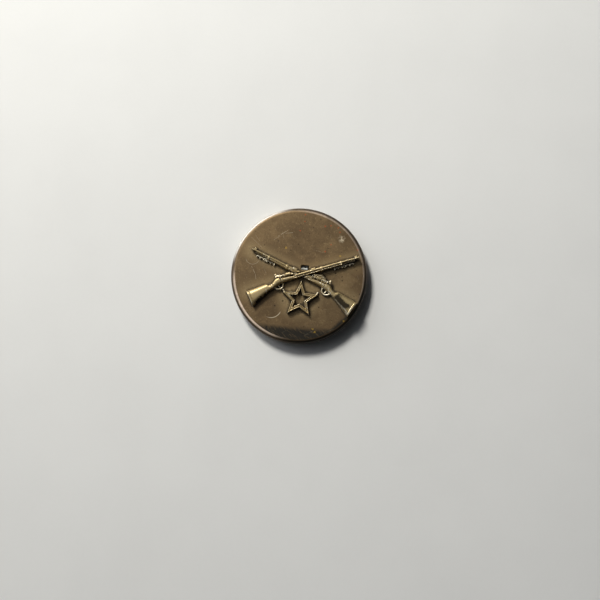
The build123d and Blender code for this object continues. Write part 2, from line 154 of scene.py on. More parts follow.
def make_piece(
    name: str, points: np.ndarray, wrap_rows: bool = False, wrap_columns: bool = False, cap_rows: bool = False
) -> bpy.types.Object:
    """A mesh from a grid of points: four neighbours make a face, and open row ends may be closed by a fan.

    Args:
        name: name of the object.
        points: (rows, columns, 3) in millimetres.
        wrap_rows: the last row joins the first.
        wrap_columns: the last column joins the first.
        cap_rows: the first and last row are closed to their middles.

    Returns:
        The new object, faces outward, at the origin.
    """
    rows, columns = points.shape[:2]
    index = np.arange(rows * columns).reshape(rows, columns)
    if wrap_rows:
        index = np.concatenate([index, index[:1]], 0)
    if wrap_columns:
        index = np.concatenate([index, index[:, :1]], 1)
    quads = np.stack([index[:-1, :-1], index[1:, :-1], index[1:, 1:], index[:-1, 1:]], -1).reshape(-1, 4)
    verts = points.reshape(-1, 3)
    faces = [tuple(q) for q in quads.tolist()]
    if cap_rows:
        first, last = len(verts), len(verts) + 1
        verts = np.concatenate([verts, points[0].mean(0)[None], points[-1].mean(0)[None]])
        start, end = index[0], index[-1]
        faces += [(first, int(a), int(b)) for a, b in zip(start[:-1], start[1:])]
        faces += [(last, int(b), int(a)) for a, b in zip(end[:-1], end[1:])]
    corner = verts[quads]
    cross = np.cross(corner[:, 2] - corner[:, 0], corner[:, 3] - corner[:, 1])
    volume = float((corner.mean(1) * cross).sum())
    if volume < 0:
        faces = [f[::-1] for f in faces]
    mesh = bpy.data.meshes.new(name)
    mesh.from_pydata((verts * MM).tolist(), [], faces)
    mesh.polygons.foreach_set("use_smooth", np.ones(len(mesh.polygons), bool))
    mesh.update()
    piece = bpy.data.objects.new(name, mesh)
    bpy.context.scene.collection.objects.link(piece)
    return piece


def turned(profile: np.ndarray, segments: int, ripple: Optional[Callable[..., np.ndarray]] = None) -> np.ndarray:
    """A profile turned about the Y axis: x = r cos a, y, z = -r sin a, with r changed by ripple(a, y, r).

    Args:
        profile: (n, 2) of radius and y.
        segments: how many steps round the axis.
        ripple: function of angle, y and radius that gives the new radius, or None.

    Returns:
        Points, (segments, n, 3).
    """
    angle = np.linspace(0, TURN, segments, endpoint=False)[:, None]
    radius = np.broadcast_to(profile[:, 0], (segments, len(profile)))
    y = np.broadcast_to(profile[:, 1], radius.shape)
    if ripple is not None:
        radius = ripple(angle, y, radius)
    return np.stack([radius * np.cos(angle), y, -radius * np.sin(angle)], -1)


def tube(path: np.ndarray, radius: np.ndarray, around: int = 14, up: Sequence[float] = (0, 0, 1)) -> np.ndarray:
    """A round bar of changing radius along a path: each point carries a circle square to the path.

    Args:
        path: (n, 3) points.
        radius: (n,) radii.
        around: points on each circle.
        up: a direction that is never along the path.

    Returns:
        Points, (n, around, 3).
    """
    along = np.gradient(path, axis=0)
    along /= np.linalg.norm(along, axis=1, keepdims=True)
    side = np.cross(along, np.array(up, float))
    side /= np.linalg.norm(side, axis=1, keepdims=True)
    top = np.cross(side, along)
    a = np.linspace(0, TURN, around, endpoint=False)
    ring = np.cos(a)[None, :, None] * side[:, None] + np.sin(a)[None, :, None] * top[:, None]
    return path[:, None] + ring * np.asarray(radius)[:, None, None]


def ball(centre: Sequence[float], radius: float, squash: float = 1.0, steps: int = 14) -> np.ndarray:
    """A ball as rings from pole to pole: radius sin b round, height squash cos b.

    Args:
        centre: its middle.
        radius: its radius across.
        squash: height over radius.
        steps: rings from pole to pole.

    Returns:
        Points, (steps, 2 steps, 3).
    """
    b = np.linspace(0.06, math.pi - 0.06, steps)[:, None]
    a = np.linspace(0, TURN, 2 * steps, endpoint=False)[None]
    grid = np.stack(
        [np.sin(b) * np.cos(a), np.sin(b) * np.sin(a), squash * np.cos(b) * np.ones_like(a)], -1
    )
    return np.array(centre, float) + radius * grid


# ---------------------------------------------------------------- shader maths


class Wire:
    """One socket of a shader graph, with the operators that make Math nodes."""

    def __init__(self, graph: "Graph", socket: bpy.types.NodeSocket) -> None:
        """Keeps the graph and the socket."""
        self.graph = graph
        self.socket = socket

    def _math(self, operation: str, *values: Any) -> "Wire":
        """A Math node of that operation on these values."""
        return self.graph.node("ShaderNodeMath", {"operation": operation}, dict(enumerate(values)))

    def __add__(self, other: Any) -> "Wire":
        """self + other."""
        return self._math("ADD", self, other)

    __radd__ = __add__

    def __sub__(self, other: Any) -> "Wire":
        """self - other."""
        return self._math("SUBTRACT", self, other)

    def __rsub__(self, other: Any) -> "Wire":
        """other - self."""
        return self._math("SUBTRACT", other, self)

    def __mul__(self, other: Any) -> "Wire":
        """self * other."""
        return self._math("MULTIPLY", self, other)

    __rmul__ = __mul__

    def __truediv__(self, other: Any) -> "Wire":
        """self / other."""
        return self._math("DIVIDE", self, other)

    def __abs__(self) -> "Wire":
        """Size without sign."""
        return self._math("ABSOLUTE", self)

    def at_least(self, other: Any) -> "Wire":
        """The larger of the two."""
        return self._math("MAXIMUM", self, other)

    def at_most(self, other: Any) -> "Wire":
        """The smaller of the two."""
        return self._math("MINIMUM", self, other)

    def root(self) -> "Wire":
        """Square root."""
        return self._math("SQRT", self)

    def rise(self, low: float, high: float) -> "Wire":
        """Eases from 0 at low to 1 at high; low may be the larger.

        Args:
            low: where it is 0.
            high: where it is 1.

        Returns:
            The eased value.
        """
        if low > high:
            return 1 - self.rise(high, low)
        return self.graph.node(
            "ShaderNodeMapRange", {"interpolation_type": "SMOOTHSTEP"},
            {"Value": self, "From Min": low, "From Max": high},
        )


class Graph:
    """A node tree, and the one method that adds nodes to it."""

    def __init__(self, tree: bpy.types.NodeTree) -> None:
        """Takes the tree and empties it."""
        self.tree = tree
        tree.nodes.clear()

    def node(
        self, kind: str, settings: Optional[dict[str, Any]] = None, sockets: Optional[dict[Any, Any]] = None,
        output: Any = 0,
    ) -> Wire:
        """Adds any node.

        Args:
            kind: the node's type.
            settings: its properties, set first; "stops" are a ramp's places and colours.
            sockets: values or wires by socket name or number.
            output: which output to give back.

        Returns:
            The chosen output.
        """
        new = self.tree.nodes.new(kind)
        for key, value in (settings or {}).items():
            if key == "stops":
                self.set_stops(new.color_ramp.elements, value)
            else:
                setattr(new, key, value)
        for key, value in (sockets or {}).items():
            self.feed(new.inputs[key], value)
        return Wire(self, new.outputs[output])

    @staticmethod
    def set_stops(elements: Any, stops: Sequence[tuple[float, Colour]]) -> None:
        """Gives a ramp its stops.

        Args:
            elements: the ramp's own two stops, which become the first and the last.
            stops: place and colour of each.
        """
        elements[0].position, elements[1].position = stops[0][0], stops[-1][0]
        for at, _ in stops[1:-1]:
            elements.new(at)
        for element, (_, colour) in zip(elements, stops):
            element.color = (*colour, 1.0)

    def feed(self, socket: bpy.types.NodeSocket, value: Any) -> None:
        """Links a wire to a socket, or sets its value.

        Args:
            socket: the input.
            value: a wire, a number, a colour or a vector.
        """
        if isinstance(value, Wire):
            self.tree.links.new(value.socket, socket)
        elif isinstance(value, tuple) and len(value) == 3 and socket.type == "RGBA":
            socket.default_value = (*value, 1.0)
        else:
            socket.default_value = value

    def end(self, kind: str, surface: Wire) -> None:
        """Adds the output node of that kind and feeds its surface."""
        self.feed(self.tree.nodes.new(kind).inputs["Surface"], surface)


class Finish(Graph):
    """A material's tree, with the object's place in millimetres at hand."""

    def __init__(self, name: str) -> None:
        """Makes the material and reads the place."""
        self.material = bpy.data.materials.new(name)
        self.material.use_nodes = True
        super().__init__(self.material.node_tree)
        place = self.node("ShaderNodeTexCoord", None, None, "Object")
        self.mm = self.node("ShaderNodeVectorMath", {"operation": "SCALE"}, {0: place, "Scale": 1 / MM})
        self.x, self.y, self.z = (self.node("ShaderNodeSeparateXYZ", None, {0: self.mm}, axis) for axis in "XYZ")

    def noise(
        self, scale: float, detail: float = 4, rough: float = 0.55, bend: float = 0.0, at: Optional[Wire] = None
    ) -> Wire:
        """Noise of so many cells per millimetre, 0 to 1.

        Args:
            scale: cells per millimetre.
            detail: octaves.
            rough: share of the finer octaves.
            bend: how far it is swirled.
            at: the place it is read at, or None for the object's own.

        Returns:
            The value.
        """
        return self.node(
            "ShaderNodeTexNoise", {"noise_dimensions": "3D"},
            {"Vector": at or self.mm, "Scale": scale, "Detail": detail, "Roughness": rough, "Distortion": bend},
        )

    def spots(self, scale: float, size: float, soft: float, share: float) -> Wire:
        """Small round spots: cells whose middle is nearer than size, and only a share of the cells.

        Args:
            scale: cells per millimetre.
            size: radius of a spot, in cells.
            soft: how soft its edge is, in cells.
            share: which part of the cells has one, 0 to 1.

        Returns:
            A mask, 1 in a spot.
        """
        near, cell = (
            self.node("ShaderNodeTexVoronoi", {"feature": "F1"}, {"Vector": self.mm, "Scale": scale}, kind)
            for kind in ("Distance", "Color")
        )
        pick = self.node("ShaderNodeSeparateColor", None, {0: cell})
        return near.rise(size + soft, size) * pick.rise(1 - share, 1 - share + 0.02)

    def mix(self, amount: Any, first: Any, second: Any) -> Wire:
        """Colour first at amount 0 and second at 1."""
        return self.node("ShaderNodeMix", {"data_type": "RGBA"}, {0: amount, 6: first, 7: second}, 2)

    def stretched(self, x: float, y: float, z: float, turn: float = 0.0) -> Wire:
        """The object's place in millimetres, turned about Y and scaled along each axis.

        Args:
            x: scale along X.
            y: scale along Y.
            z: scale along Z.
            turn: degrees about Y, before scaling.

        Returns:
            The vector.
        """
        angle = math.radians(turn)
        sockets = {"Vector": self.mm, "Angle": angle}
        place = self.node("ShaderNodeVectorRotate", {"rotation_type": "Y_AXIS"}, sockets)
        return self.node("ShaderNodeVectorMath", {"operation": "MULTIPLY"}, {0: place, 1: (x, y, z)})

    def segment(self, start: Sequence[float], end: Sequence[float]) -> Wire:
        """Distance in the face's plane from the stretch between two points.

        Args:
            start: x and z of one end, in millimetres.
            end: x and z of the other end.

        Returns:
            The distance in millimetres.
        """
        dx, dz = end[0] - start[0], end[1] - start[1]
        length = dx * dx + dz * dz
        along = (((self.x - start[0]) * dx + (self.z - start[1]) * dz) / length).at_least(0.0).at_most(1.0)
        off_x = self.x - start[0] - along * dx
        off_z = self.z - start[1] - along * dz
        return (off_x * off_x + off_z * off_z).root()

    def radius(self, centre: Sequence[float] = (0.0, 0.0)) -> Wire:
        """Distance in the face's plane from a point."""
        off_x, off_z = self.x - centre[0], self.z - centre[1]
        return (off_x * off_x + off_z * off_z).root()

    def surface(
        self, colour: Any, rough: Any, height: Optional[Wire] = None, depth: float = 0.02, metal: Any = 1.0
    ) -> Wire:
        """The shader of a surface.

        Args:
            colour: base colour.
            rough: roughness.
            height: surface height in parts of depth, for the bump.
            depth: millimetres that a height of 1 stands for.
            metal: metallic.

        Returns:
            The shader's output.
        """
        sockets = {"Base Color": colour, "Roughness": rough, "Metallic": metal}
        if height is not None:
            relief = {"Height": height, "Distance": depth * MM, "Strength": 1.0}
            sockets["Normal"] = self.node("ShaderNodeBump", None, relief)
        return self.node("ShaderNodeBsdfPrincipled", None, sockets)

    def done(self, surface: Wire) -> bpy.types.Material:
        """Ends the material with this shader and gives it back."""
        self.end("ShaderNodeOutputMaterial", surface)
        return self.material


def srgb(red: int, green: int, blue: int) -> Colour:
    """A colour from its 0 to 255 screen values."""
    return tuple(((c / 255 + 0.055) / 1.055) ** 2.4 if c > 10 else c / 3295 for c in (red, green, blue))


@dataclass(frozen=True)
class Scratch:
    """One scratch on the face: a straight or curved line with soft ends."""

    start: tuple[float, float]
    end: tuple[float, float]
    width: float = 0.05
    strength: float = 0.6


@dataclass(frozen=True)
class FaceFinish:
    """Tarnished brass face: brown-olive film, tan halo by the emblem, scratches and specks, with painted shade and
    dirt beside the emblem, a dark crescent that is mostly painted dark reflection and shade, and on the rim a worn
    band that is partly painted sheen, a painted highlight at the upper left and painted shade at the lower right.
    """

    film: Colour = srgb(124, 102, 70)
    film_dark: Colour = srgb(90, 72, 48)
    tan: Colour = srgb(176, 155, 112)
    crescent: Colour = srgb(33, 31, 25)
    bare: Colour = srgb(226, 212, 180)
    rim_wear_and_sheen: Colour = srgb(230, 208, 184)
    wall: Colour = srgb(68, 56, 43)
    painted_highlight: Colour = srgb(244, 238, 226)
    rust: Colour = srgb(190, 74, 30)
    gold: Colour = srgb(206, 166, 60)
    pit: Colour = srgb(30, 26, 20)
    rim_start: float = 11.95
    crescent_top: float = -9.55
    halo_reach: float = 2.6
    scratches: tuple[Scratch, ...] = (
        Scratch((-4.5, 7.0), (-2.9, 8.2), 0.045, 0.55),
        Scratch((-3.9, 8.0), (-3.4, 6.6), 0.035, 0.45),
        Scratch((-3.3, 7.6), (-1.9, 7.9), 0.04, 0.5),
        Scratch((-5.3, 6.2), (-4.0, 7.2), 0.035, 0.4),
        Scratch((-9.5, 6.3), (-7.4, 4.6), 0.035, 0.4),
        Scratch((-8.9, 6.9), (-7.6, 5.4), 0.03, 0.35),
        Scratch((-9.0, 1.0), (-8.1, -0.5), 0.05, 0.45),
        Scratch((-8.1, -0.5), (-7.9, -1.4), 0.05, 0.4),
        Scratch((-6.7, 1.0), (-6.1, -0.3), 0.035, 0.3),
        Scratch((2.2, 5.0), (4.1, 4.7), 0.04, 0.25),
        Scratch((8.2, 4.7), (9.3, 3.4), 0.03, 0.25),
        Scratch((-2.0, -10.8), (-1.2, -10.3), 0.08, 0.3),
        Scratch((2.2, -10.9), (3.9, -9.8), 0.12, 0.25),
        Scratch((-4.9, -10.4), (-4.1, -10.9), 0.06, 0.3),
        Scratch((6.3, -9.9), (7.3, -9.3), 0.06, 0.35),
    )
    specks: Places = (
        (0.1, 11.45), (-0.55, 8.4), (4.0, 9.65), (5.05, 9.8), (6.45, 9.55), (6.85, 8.75), (10.4, 5.75),
        (5.4, 6.3), (0.15, 10.15), (4.4, 4.9),
    )
    flecks: Places = ((3.5, -9.7), (3.9, -10.2), (9.05, -7.7), (7.3, 4.3), (-2.9, 4.9))
    pits: Places = (
        (6.73, 1.03), (8.1, -0.2), (8.0, 0.5), (4.2, -5.6), (-3.9, -6.0), (11.6, -2.4), (-2.5, -5.0),
    )

    def points(self, graph: Finish, places: Sequence[tuple[float, float]], size: float) -> Wire:
        """A mask of small uneven dots at the given places.

        Args:
            graph: the graph.
            places: x and z of each, in millimetres.
            size: radius of each.

        Returns:
            1 inside a dot.
        """
        wobble = (graph.noise(5.0, 3) - 0.5) * size * 2.6
        dots = [(graph.radius(place) + wobble).rise(size, size * 0.3) for place in places]
        return reduce(Wire.at_least, dots)

    def build(self, emblem: "EmblemLines") -> bpy.types.Material:
        """Makes the material.

        Args:
            emblem: where the rifles and the star lie, for the halo.

        Returns:
            The material.
        """
        g = Finish("face_brass")
        broad, cloud = g.noise(0.16, 3, 0.5), g.noise(0.55, 5, 0.6, 0.6)
        grain, fine = g.noise(3.2, 4, 0.65), g.noise(11.0, 3, 0.6)
        radius = g.radius()
        light = (cloud * 0.45 + broad * 0.35 + grain * 0.20 + (g.z - g.x) * 0.004).rise(0.36, 0.72)
        colour = g.mix(light, self.film_dark, self.film)
        near = emblem.distance(g) + (cloud - 0.5) * 2.2 + (grain - 0.5) * 1.6
        halo = near.rise(self.halo_reach, 0.1) * (0.15 + grain * 0.9)
        lower_right = (g.x * 0.75 - g.z * 0.25).rise(0.5, 8.0) * radius.rise(11.6, 9.0) * 0.3
        colour = g.mix(halo.at_least(lower_right * cloud).at_most(1.0) * 0.6, colour, self.tan)
        colour = g.mix(fine.rise(0.52, 0.70) * 0.5, colour, self.film_dark)
        colour = g.mix(grain.rise(0.56, 0.76) * 0.24, colour, self.tan)
        colour = g.mix(g.noise(6.0, 3, 0.6).rise(0.58, 0.74) * 0.25, colour, self.film)
        # Painted shade, also standing for dirt: the face goes to the pit colour where ambient occlusion finds it
        # closed in beside the emblem.
        corner = g.node("ShaderNodeAmbientOcclusion", {"samples": 8}, {"Distance": 0.8 * MM}, "AO")
        crease_dirt_and_shade = (corner + (grain - 0.5) * 0.25).rise(0.93, 0.55) * radius.rise(11.9, 11.5)
        colour = g.mix(crease_dirt_and_shade * 0.85, colour, self.pit)
        smudge = g.radius((7.3, 7.5)).rise(0.9, 0.1) * grain.rise(0.4, 0.65)
        colour = g.mix(smudge * 0.7, colour, self.bare)
        # Mostly painted dark reflection and shade, with some tarnish: the dark crescent along the bottom of the
        # face and the dark stretch at its lower right edge.
        edge_noise = (cloud - 0.5) * 1.1 + (grain - 0.5) * 0.5
        low = (self.crescent_top - g.z + edge_noise * 1.2 + g.x * 0.02).rise(-0.35, 0.75)
        right = ((g.x * 0.77 - g.z * 0.64) + edge_noise).rise(11.0, 11.8) * g.z.rise(-5.4, -7.2)
        dark = low.at_least(right) * radius.rise(12.1, 11.85)
        streaks = g.noise(1.0, 3, 0.6, 0.0, g.stretched(5.0, 1.0, 0.9, 52)).rise(0.54, 0.7)
        dark_colour = g.mix(streaks * 0.35, self.crescent, self.film)
        colour = g.mix(dark * 0.96, colour, dark_colour)
        broken = grain.rise(0.36, 0.62)
        marks = reduce(Wire.at_least, [
            (g.segment(one.start, one.end) + (grain - 0.5) * 0.12).rise(one.width * 1.5, 0.0)
            * broken * one.strength
            for one in self.scratches
        ])
        ring = abs(g.radius((-4.6, -6.35)) - 1.95).rise(0.11, 0.0) * g.z.rise(-6.9, -7.3) * g.x.rise(-5.6, -4.2)
        second = abs(g.radius((-8.9, 2.6)) - 1.3).rise(0.06, 0.02) * g.z.rise(2.3, 1.9) * 0.4
        marks = marks.at_least(ring * 0.6).at_least(second * 0.6)
        hair = g.noise(1.0, 2, 0.5, 0.0, g.stretched(9.0, 1.0, 0.35, 24)).rise(0.72, 0.8)
        hair = hair.at_least(g.noise(1.0, 2, 0.5, 0.0, g.stretched(0.3, 1.0, 8.0, 12)).rise(0.73, 0.8))
        marks = marks.at_least(hair * 0.2) * (1 - dark * 0.7)
        colour = g.mix(marks, colour, self.bare)
        specks = self.points(g, self.specks, 0.19)
        flecks = self.points(g, self.flecks, 0.26)
        pits = self.points(g, self.pits, 0.2).at_least(g.spots(1.6, 0.13, 0.06, 0.16) * 0.8)
        colour = g.mix(specks * 0.45, colour, self.rust)
        colour = g.mix(flecks * 0.38, colour, self.gold)
        colour = g.mix(pits * 0.75, colour, self.pit)
        rim = radius.rise(self.rim_start, self.rim_start + 0.3)
        # Worn band on the rim, partly wear and partly painted sheen: strongest at the lower left, weaker elsewhere,
        # and left out at the upper left and on the shaded lower right.
        band = radius.rise(11.82, 11.96) * radius.rise(12.40, 12.10) * g.y.rise(-1.5, -1.9)
        left = (g.x * -0.82 - g.z * 0.57).rise(5.0, 12.5)
        spared = (g.x * 0.5 - g.z * 0.87).rise(10.5, 7.0) * (g.z * 0.669 - g.x * 0.743).rise(9.6, 6.4)
        rub = band * (0.6 + (cloud * 0.7 + grain * 0.5).rise(0.4, 0.8) * 0.4) * (0.30 + left * 0.70) * spared
        # Painted highlight: a near-white stretch on the outer edge of the rim at the upper left.
        bright = (g.z * 0.669 - g.x * 0.743 + (cloud - 0.5) * 0.6).rise(9.6, 12.2) * radius.rise(12.2, 12.5)
        colour = g.mix(rim * 0.85, colour, self.wall)
        colour = g.mix(rub, colour, self.rim_wear_and_sheen)
        colour = g.mix(bright * 0.9, colour, self.painted_highlight)
        back = g.y.rise(-1.75, -1.15)
        colour = g.mix(back * 0.8, colour, self.wall)
        shade = (g.x * 0.70 - g.z * 0.71).rise(5.5, 10.5) * rim
        colour = g.mix(shade * 0.85, colour, self.crescent)
        rough = 0.46 + cloud * 0.10 + fine * 0.10 - marks * 0.10 - rim * 0.14 - bright * 0.16 + pits * 0.15
        height = cloud * 0.4 + grain * 0.5 + fine * 0.4 - marks * 0.3 - pits * 0.9 + flecks * 0.3
        metal = (0.72 - rub * (1 - shade) * 0.6).at_least(bright)
        return g.done(g.surface(colour, rough, height, 0.024, metal))


@dataclass(frozen=True)
class ReliefFinish:
    """Worn gilt relief: bright golden-olive tops, brown sides and near-black hollows; the darkening low down and in
    corners is painted shade, and the brightest edges are partly wear and partly painted highlight.
    """

    name: str
    face_y: float
    top: float
    gilt: Colour = srgb(166, 147, 106)
    wear_and_highlight: Colour = srgb(234, 226, 202)
    brown: Colour = srgb(116, 95, 62)
    hollow: Colour = srgb(26, 20, 13)

    def build(self) -> bpy.types.Material:
        """Makes the material: painted shade makes it dark low down and in corners, so that it is bright on top."""
        g = Finish(self.name)
        cloud, grain, fine = g.noise(0.9, 4, 0.6, 0.4), g.noise(4.0, 4, 0.6), g.noise(14.0, 3, 0.6)
        # Painted shade: the lower a surface lies and the more ambient occlusion finds it closed in, the darker it
        # is, from gilt through brown to near black.
        lift = (self.face_y - g.y) / self.top
        open_sky = g.node(
            "ShaderNodeAmbientOcclusion", {"samples": 8, "only_local": False}, {"Distance": 0.6 * MM}, "AO"
        )
        shade = (open_sky * 0.75 + lift * 0.35 + (grain - 0.5) * 0.25).rise(0.30, 0.80)
        colour = g.mix(shade, self.hollow, self.brown)
        colour = g.mix((shade * 1.1 + (cloud - 0.5) * 0.5).rise(0.45, 1.0), colour, self.gilt)
        # Bright sharp edges, partly wear on the high points and partly painted highlight.
        edge = g.node("ShaderNodeNewGeometry", None, None, "Pointiness")
        tops = (edge + (fine - 0.5) * 0.03).rise(0.515, 0.58)
        colour = g.mix(tops * 0.8, colour, self.wear_and_highlight)
        colour = g.mix((cloud * 0.6 + grain * 0.4).rise(0.5, 0.70) * 0.35, colour, self.brown)
        # Darker patches on the two butts: painted shade along the lower side of the left butt, and a mottled dark
        # middle on the right one. rub here is only noise that makes their edges ragged.
        rub = (cloud - 0.5) * 1.7 + (grain - 0.5) * 1.0
        right_butt = (g.segment((7.6, -3.5), (9.25, -4.95)) + rub).rise(0.85, 0.30)
        left_butt = (g.segment((-5.1, -3.6), (-7.2, -5.7)) + rub).rise(0.40, 0.1)
        colour = g.mix(right_butt.at_least(left_butt) * 0.93, colour, self.hollow)
        rough = 0.43 - tops * 0.10 + (1 - shade) * 0.25 + fine * 0.08
        height = grain * 0.4 + fine * 0.2 + cloud * 0.5
        return g.done(g.surface(colour, rough, height, 0.012, 0.8))


@dataclass(frozen=True)
class TurnedFinish:
    """Turned or drawn brass: fine rings round the post, brown film and brighter worn edges."""

    name: str
    bright: Colour = srgb(214, 186, 122)
    film: Colour = srgb(140, 114, 70)
    dark: Colour = srgb(74, 58, 34)
    rings: float = 7.0
    edge: float = 7.4

    def build(self) -> bpy.types.Material:
        """Makes the material."""
        g = Finish(self.name)
        radius = g.radius()
        cloud, grain, fine = g.noise(0.45, 5, 0.6, 0.5), g.noise(3.0, 4, 0.6), g.noise(12.0, 3, 0.6)
        where = g.node("ShaderNodeCombineXYZ", None, {0: radius * self.rings, 1: g.y * 2.0, 2: cloud * 0.6})
        rings = g.noise(1.0, 3, 0.7, 0.0, where)
        colour = g.mix((cloud * 0.7 + rings * 0.4).rise(0.4, 0.72), self.film, self.bright)
        colour = g.mix((grain * 0.6 + cloud * 0.5).rise(0.58, 0.74) * 0.7, colour, self.dark)
        hair = g.noise(1.0, 2, 0.5, 0.0, g.stretched(9.0, 1.0, 0.35, 38)).rise(0.68, 0.76)
        colour = g.mix(hair * 0.35, colour, self.bright)
        rub = radius.rise(self.edge, self.edge + 0.5) * (0.5 + grain * 0.5)
        colour = g.mix(rub * 0.6, colour, self.bright)
        spots = g.spots(1.4, 0.16, 0.08, 0.2)
        colour = g.mix(spots * 0.6, colour, self.dark)
        rough = 0.34 + cloud * 0.16 + fine * 0.08 - rub * 0.08
        height = rings * 0.8 + grain * 0.25 + fine * 0.12 - hair * 0.4
        return g.done(g.surface(colour, rough, height, 0.014))


@dataclass(frozen=True)
class GreyFinish:
    """Pale grey plating or dull solder, clouded and pitted."""

    name: str
    light: Colour = srgb(196, 198, 192)
    dull: Colour = srgb(112, 112, 104)
    roughness: float = 0.38

    def build(self) -> bpy.types.Material:
        """Makes the material."""
        g = Finish(self.name)
        cloud, grain = g.noise(1.6, 4, 0.6, 0.5), g.noise(8.0, 4, 0.6)
        colour = g.mix((cloud * 0.7 + grain * 0.4).rise(0.42, 0.75), self.dull, self.light)
        rough = self.roughness + cloud * 0.2
        return g.done(g.surface(colour, rough, grain * 0.6 + cloud * 0.6, 0.02))


# ---------------------------------------------------------------- sub-assemblies


@dataclass
class Part:
    """What every sub-assembly shares: how a finished piece is dressed."""

    def dress(
        self, piece: bpy.types.Object, material: bpy.types.Material, slot: Slot, body: Body,
        replaces: Sequence[str] = (),
    ) -> bpy.types.Object:
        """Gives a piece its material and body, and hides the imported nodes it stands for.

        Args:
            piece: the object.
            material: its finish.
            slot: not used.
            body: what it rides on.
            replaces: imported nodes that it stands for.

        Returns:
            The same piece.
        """
        piece.data.materials.clear()
        piece.data.materials.append(material)
        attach(piece, body.value)
        if replaces:
            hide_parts(*replaces)
        LOG.info("%s on %s, %d faces", piece.name, body.value, len(piece.data.polygons))
        return piece


@dataclass
class DiscShell(Part):
    """The drawn cup: face with its slot, rounded rim, wall and turned-in edge."""

    sheet: float = 0.5
    rim_rounding: float = 0.85
    back_rounding: float = 0.4
    lip_width: float = 1.6
    lip_thickness: float = 0.45
    slot_size: tuple[float, float] = (1.5, 0.9)
    slot_place: tuple[float, float] = (1.0, 1.55)
    segments: int = 360
    face_rings: int = 46

    def outline(self) -> np.ndarray:
        """The section outside the face: rim, wall, turned-in edge and inside, as radius and y."""
        low, high = node_box("disc_shell")
        radius, face, back = (high[0] - low[0]) / 2, low[1], high[1]
        arc = np.linspace(0, math.pi / 2, 14)
        rim = np.stack(
            [radius - self.rim_rounding * (1 - np.sin(arc)), face + self.rim_rounding * (1 - np.cos(arc))], -1
        )
        turn = np.linspace(0, math.pi / 2, 9)
        edge = np.stack(
            [radius - self.back_rounding * (1 - np.cos(turn)), back - self.back_rounding * (1 - np.sin(turn))], -1
        )
        lip = radius - self.lip_width
        inner = radius - self.sheet
        rest = np.array([
            [lip + 0.12, back], [lip + 0.05, back - 0.01], [lip, back - 0.06], [lip, back - self.lip_thickness],
            [inner, back - self.lip_thickness], [inner, face + self.rim_rounding],
            [inner - 0.35, face + self.sheet],
        ])
        return np.concatenate([rim, edge, rest])

    def points(self) -> np.ndarray:
        """The closed grid: slot wall, face from slot to rim by a straight blend, then the turned section."""
        low, _ = node_box("disc_shell")
        face = low[1]
        angle = np.linspace(0, TURN, self.segments, endpoint=False)
        c, s = np.cos(angle), np.sin(angle)
        power = 2 / 7
        width, height = self.slot_size[0] / 2, self.slot_size[1] / 2
        slot = np.stack([
            self.slot_place[0] + width * np.sign(c) * np.abs(c) ** power,
            self.slot_place[1] + height * np.sign(s) * np.abs(s) ** power,
        ], -1)
        circle = np.stack([c, s], -1)
        line = self.outline()
        blend = np.linspace(0, 1, self.face_rings) ** 1.2
        start = slot + (slot - np.array(self.slot_place)) * 0.06
        rings = [(slot, face + self.sheet), (slot, face + 0.12), (slot + (start - slot) * 0.3, face + 0.03)]
        rings += [(start * (1 - b) + circle * line[0, 0] * b, face) for b in blend[:-1]]
        rings += [(circle * r, y) for r, y in line]
        flat = np.stack([np.concatenate([ring, np.full((self.segments, 1), y)], -1) for ring, y in rings], 1)
        return flat[..., [0, 2, 1]]

    def build(self, finish: bpy.types.Material) -> None:
        """Makes the shell."""
        piece = make_piece("disc_shell_drawn", self.points(), wrap_rows=True, wrap_columns=True)
        self.dress(piece, finish, Slot.DISC, Body.BADGE, ["disc_shell"])


@dataclass(frozen=True)
class Lobe:
    """One rounded ridge along a rifle: from start to end, between a lower and an upper edge line.

    Its height is height * (1 - |x|^p)^(1/q), where x runs from -1 at the lower edge to 1 at the upper one.
    """

    start: float
    end: float
    low: Edge
    high: Edge
    height: float
    p: float = 2.0
    q: float = 2.0
    soft: float = 0.06

    def edges(self, u: np.ndarray) -> tuple[np.ndarray, np.ndarray]:
        """The lower and upper edge at the stations u."""
        low = np.interp(u, [a for a, _ in self.low], [b for _, b in self.low])
        high = np.interp(u, [a for a, _ in self.high], [b for _, b in self.high])
        return low, high

    def lift(self, u: np.ndarray, t: np.ndarray) -> np.ndarray:
        """Height above the emblem's back at stations u and offsets t."""
        low, high = self.edges(u)
        x = np.clip(np.abs((t - (low + high) / 2) / ((high - low) / 2)), 0, 1)
        ends = bump(u, self.start, self.end, self.soft)
        return self.height * (1 - x**self.p) ** (1 / self.q) * ends


def flat_edge(value: float) -> Edge:
    """An edge line at one offset all along."""
    return ((0.0, value), (30.0, value))


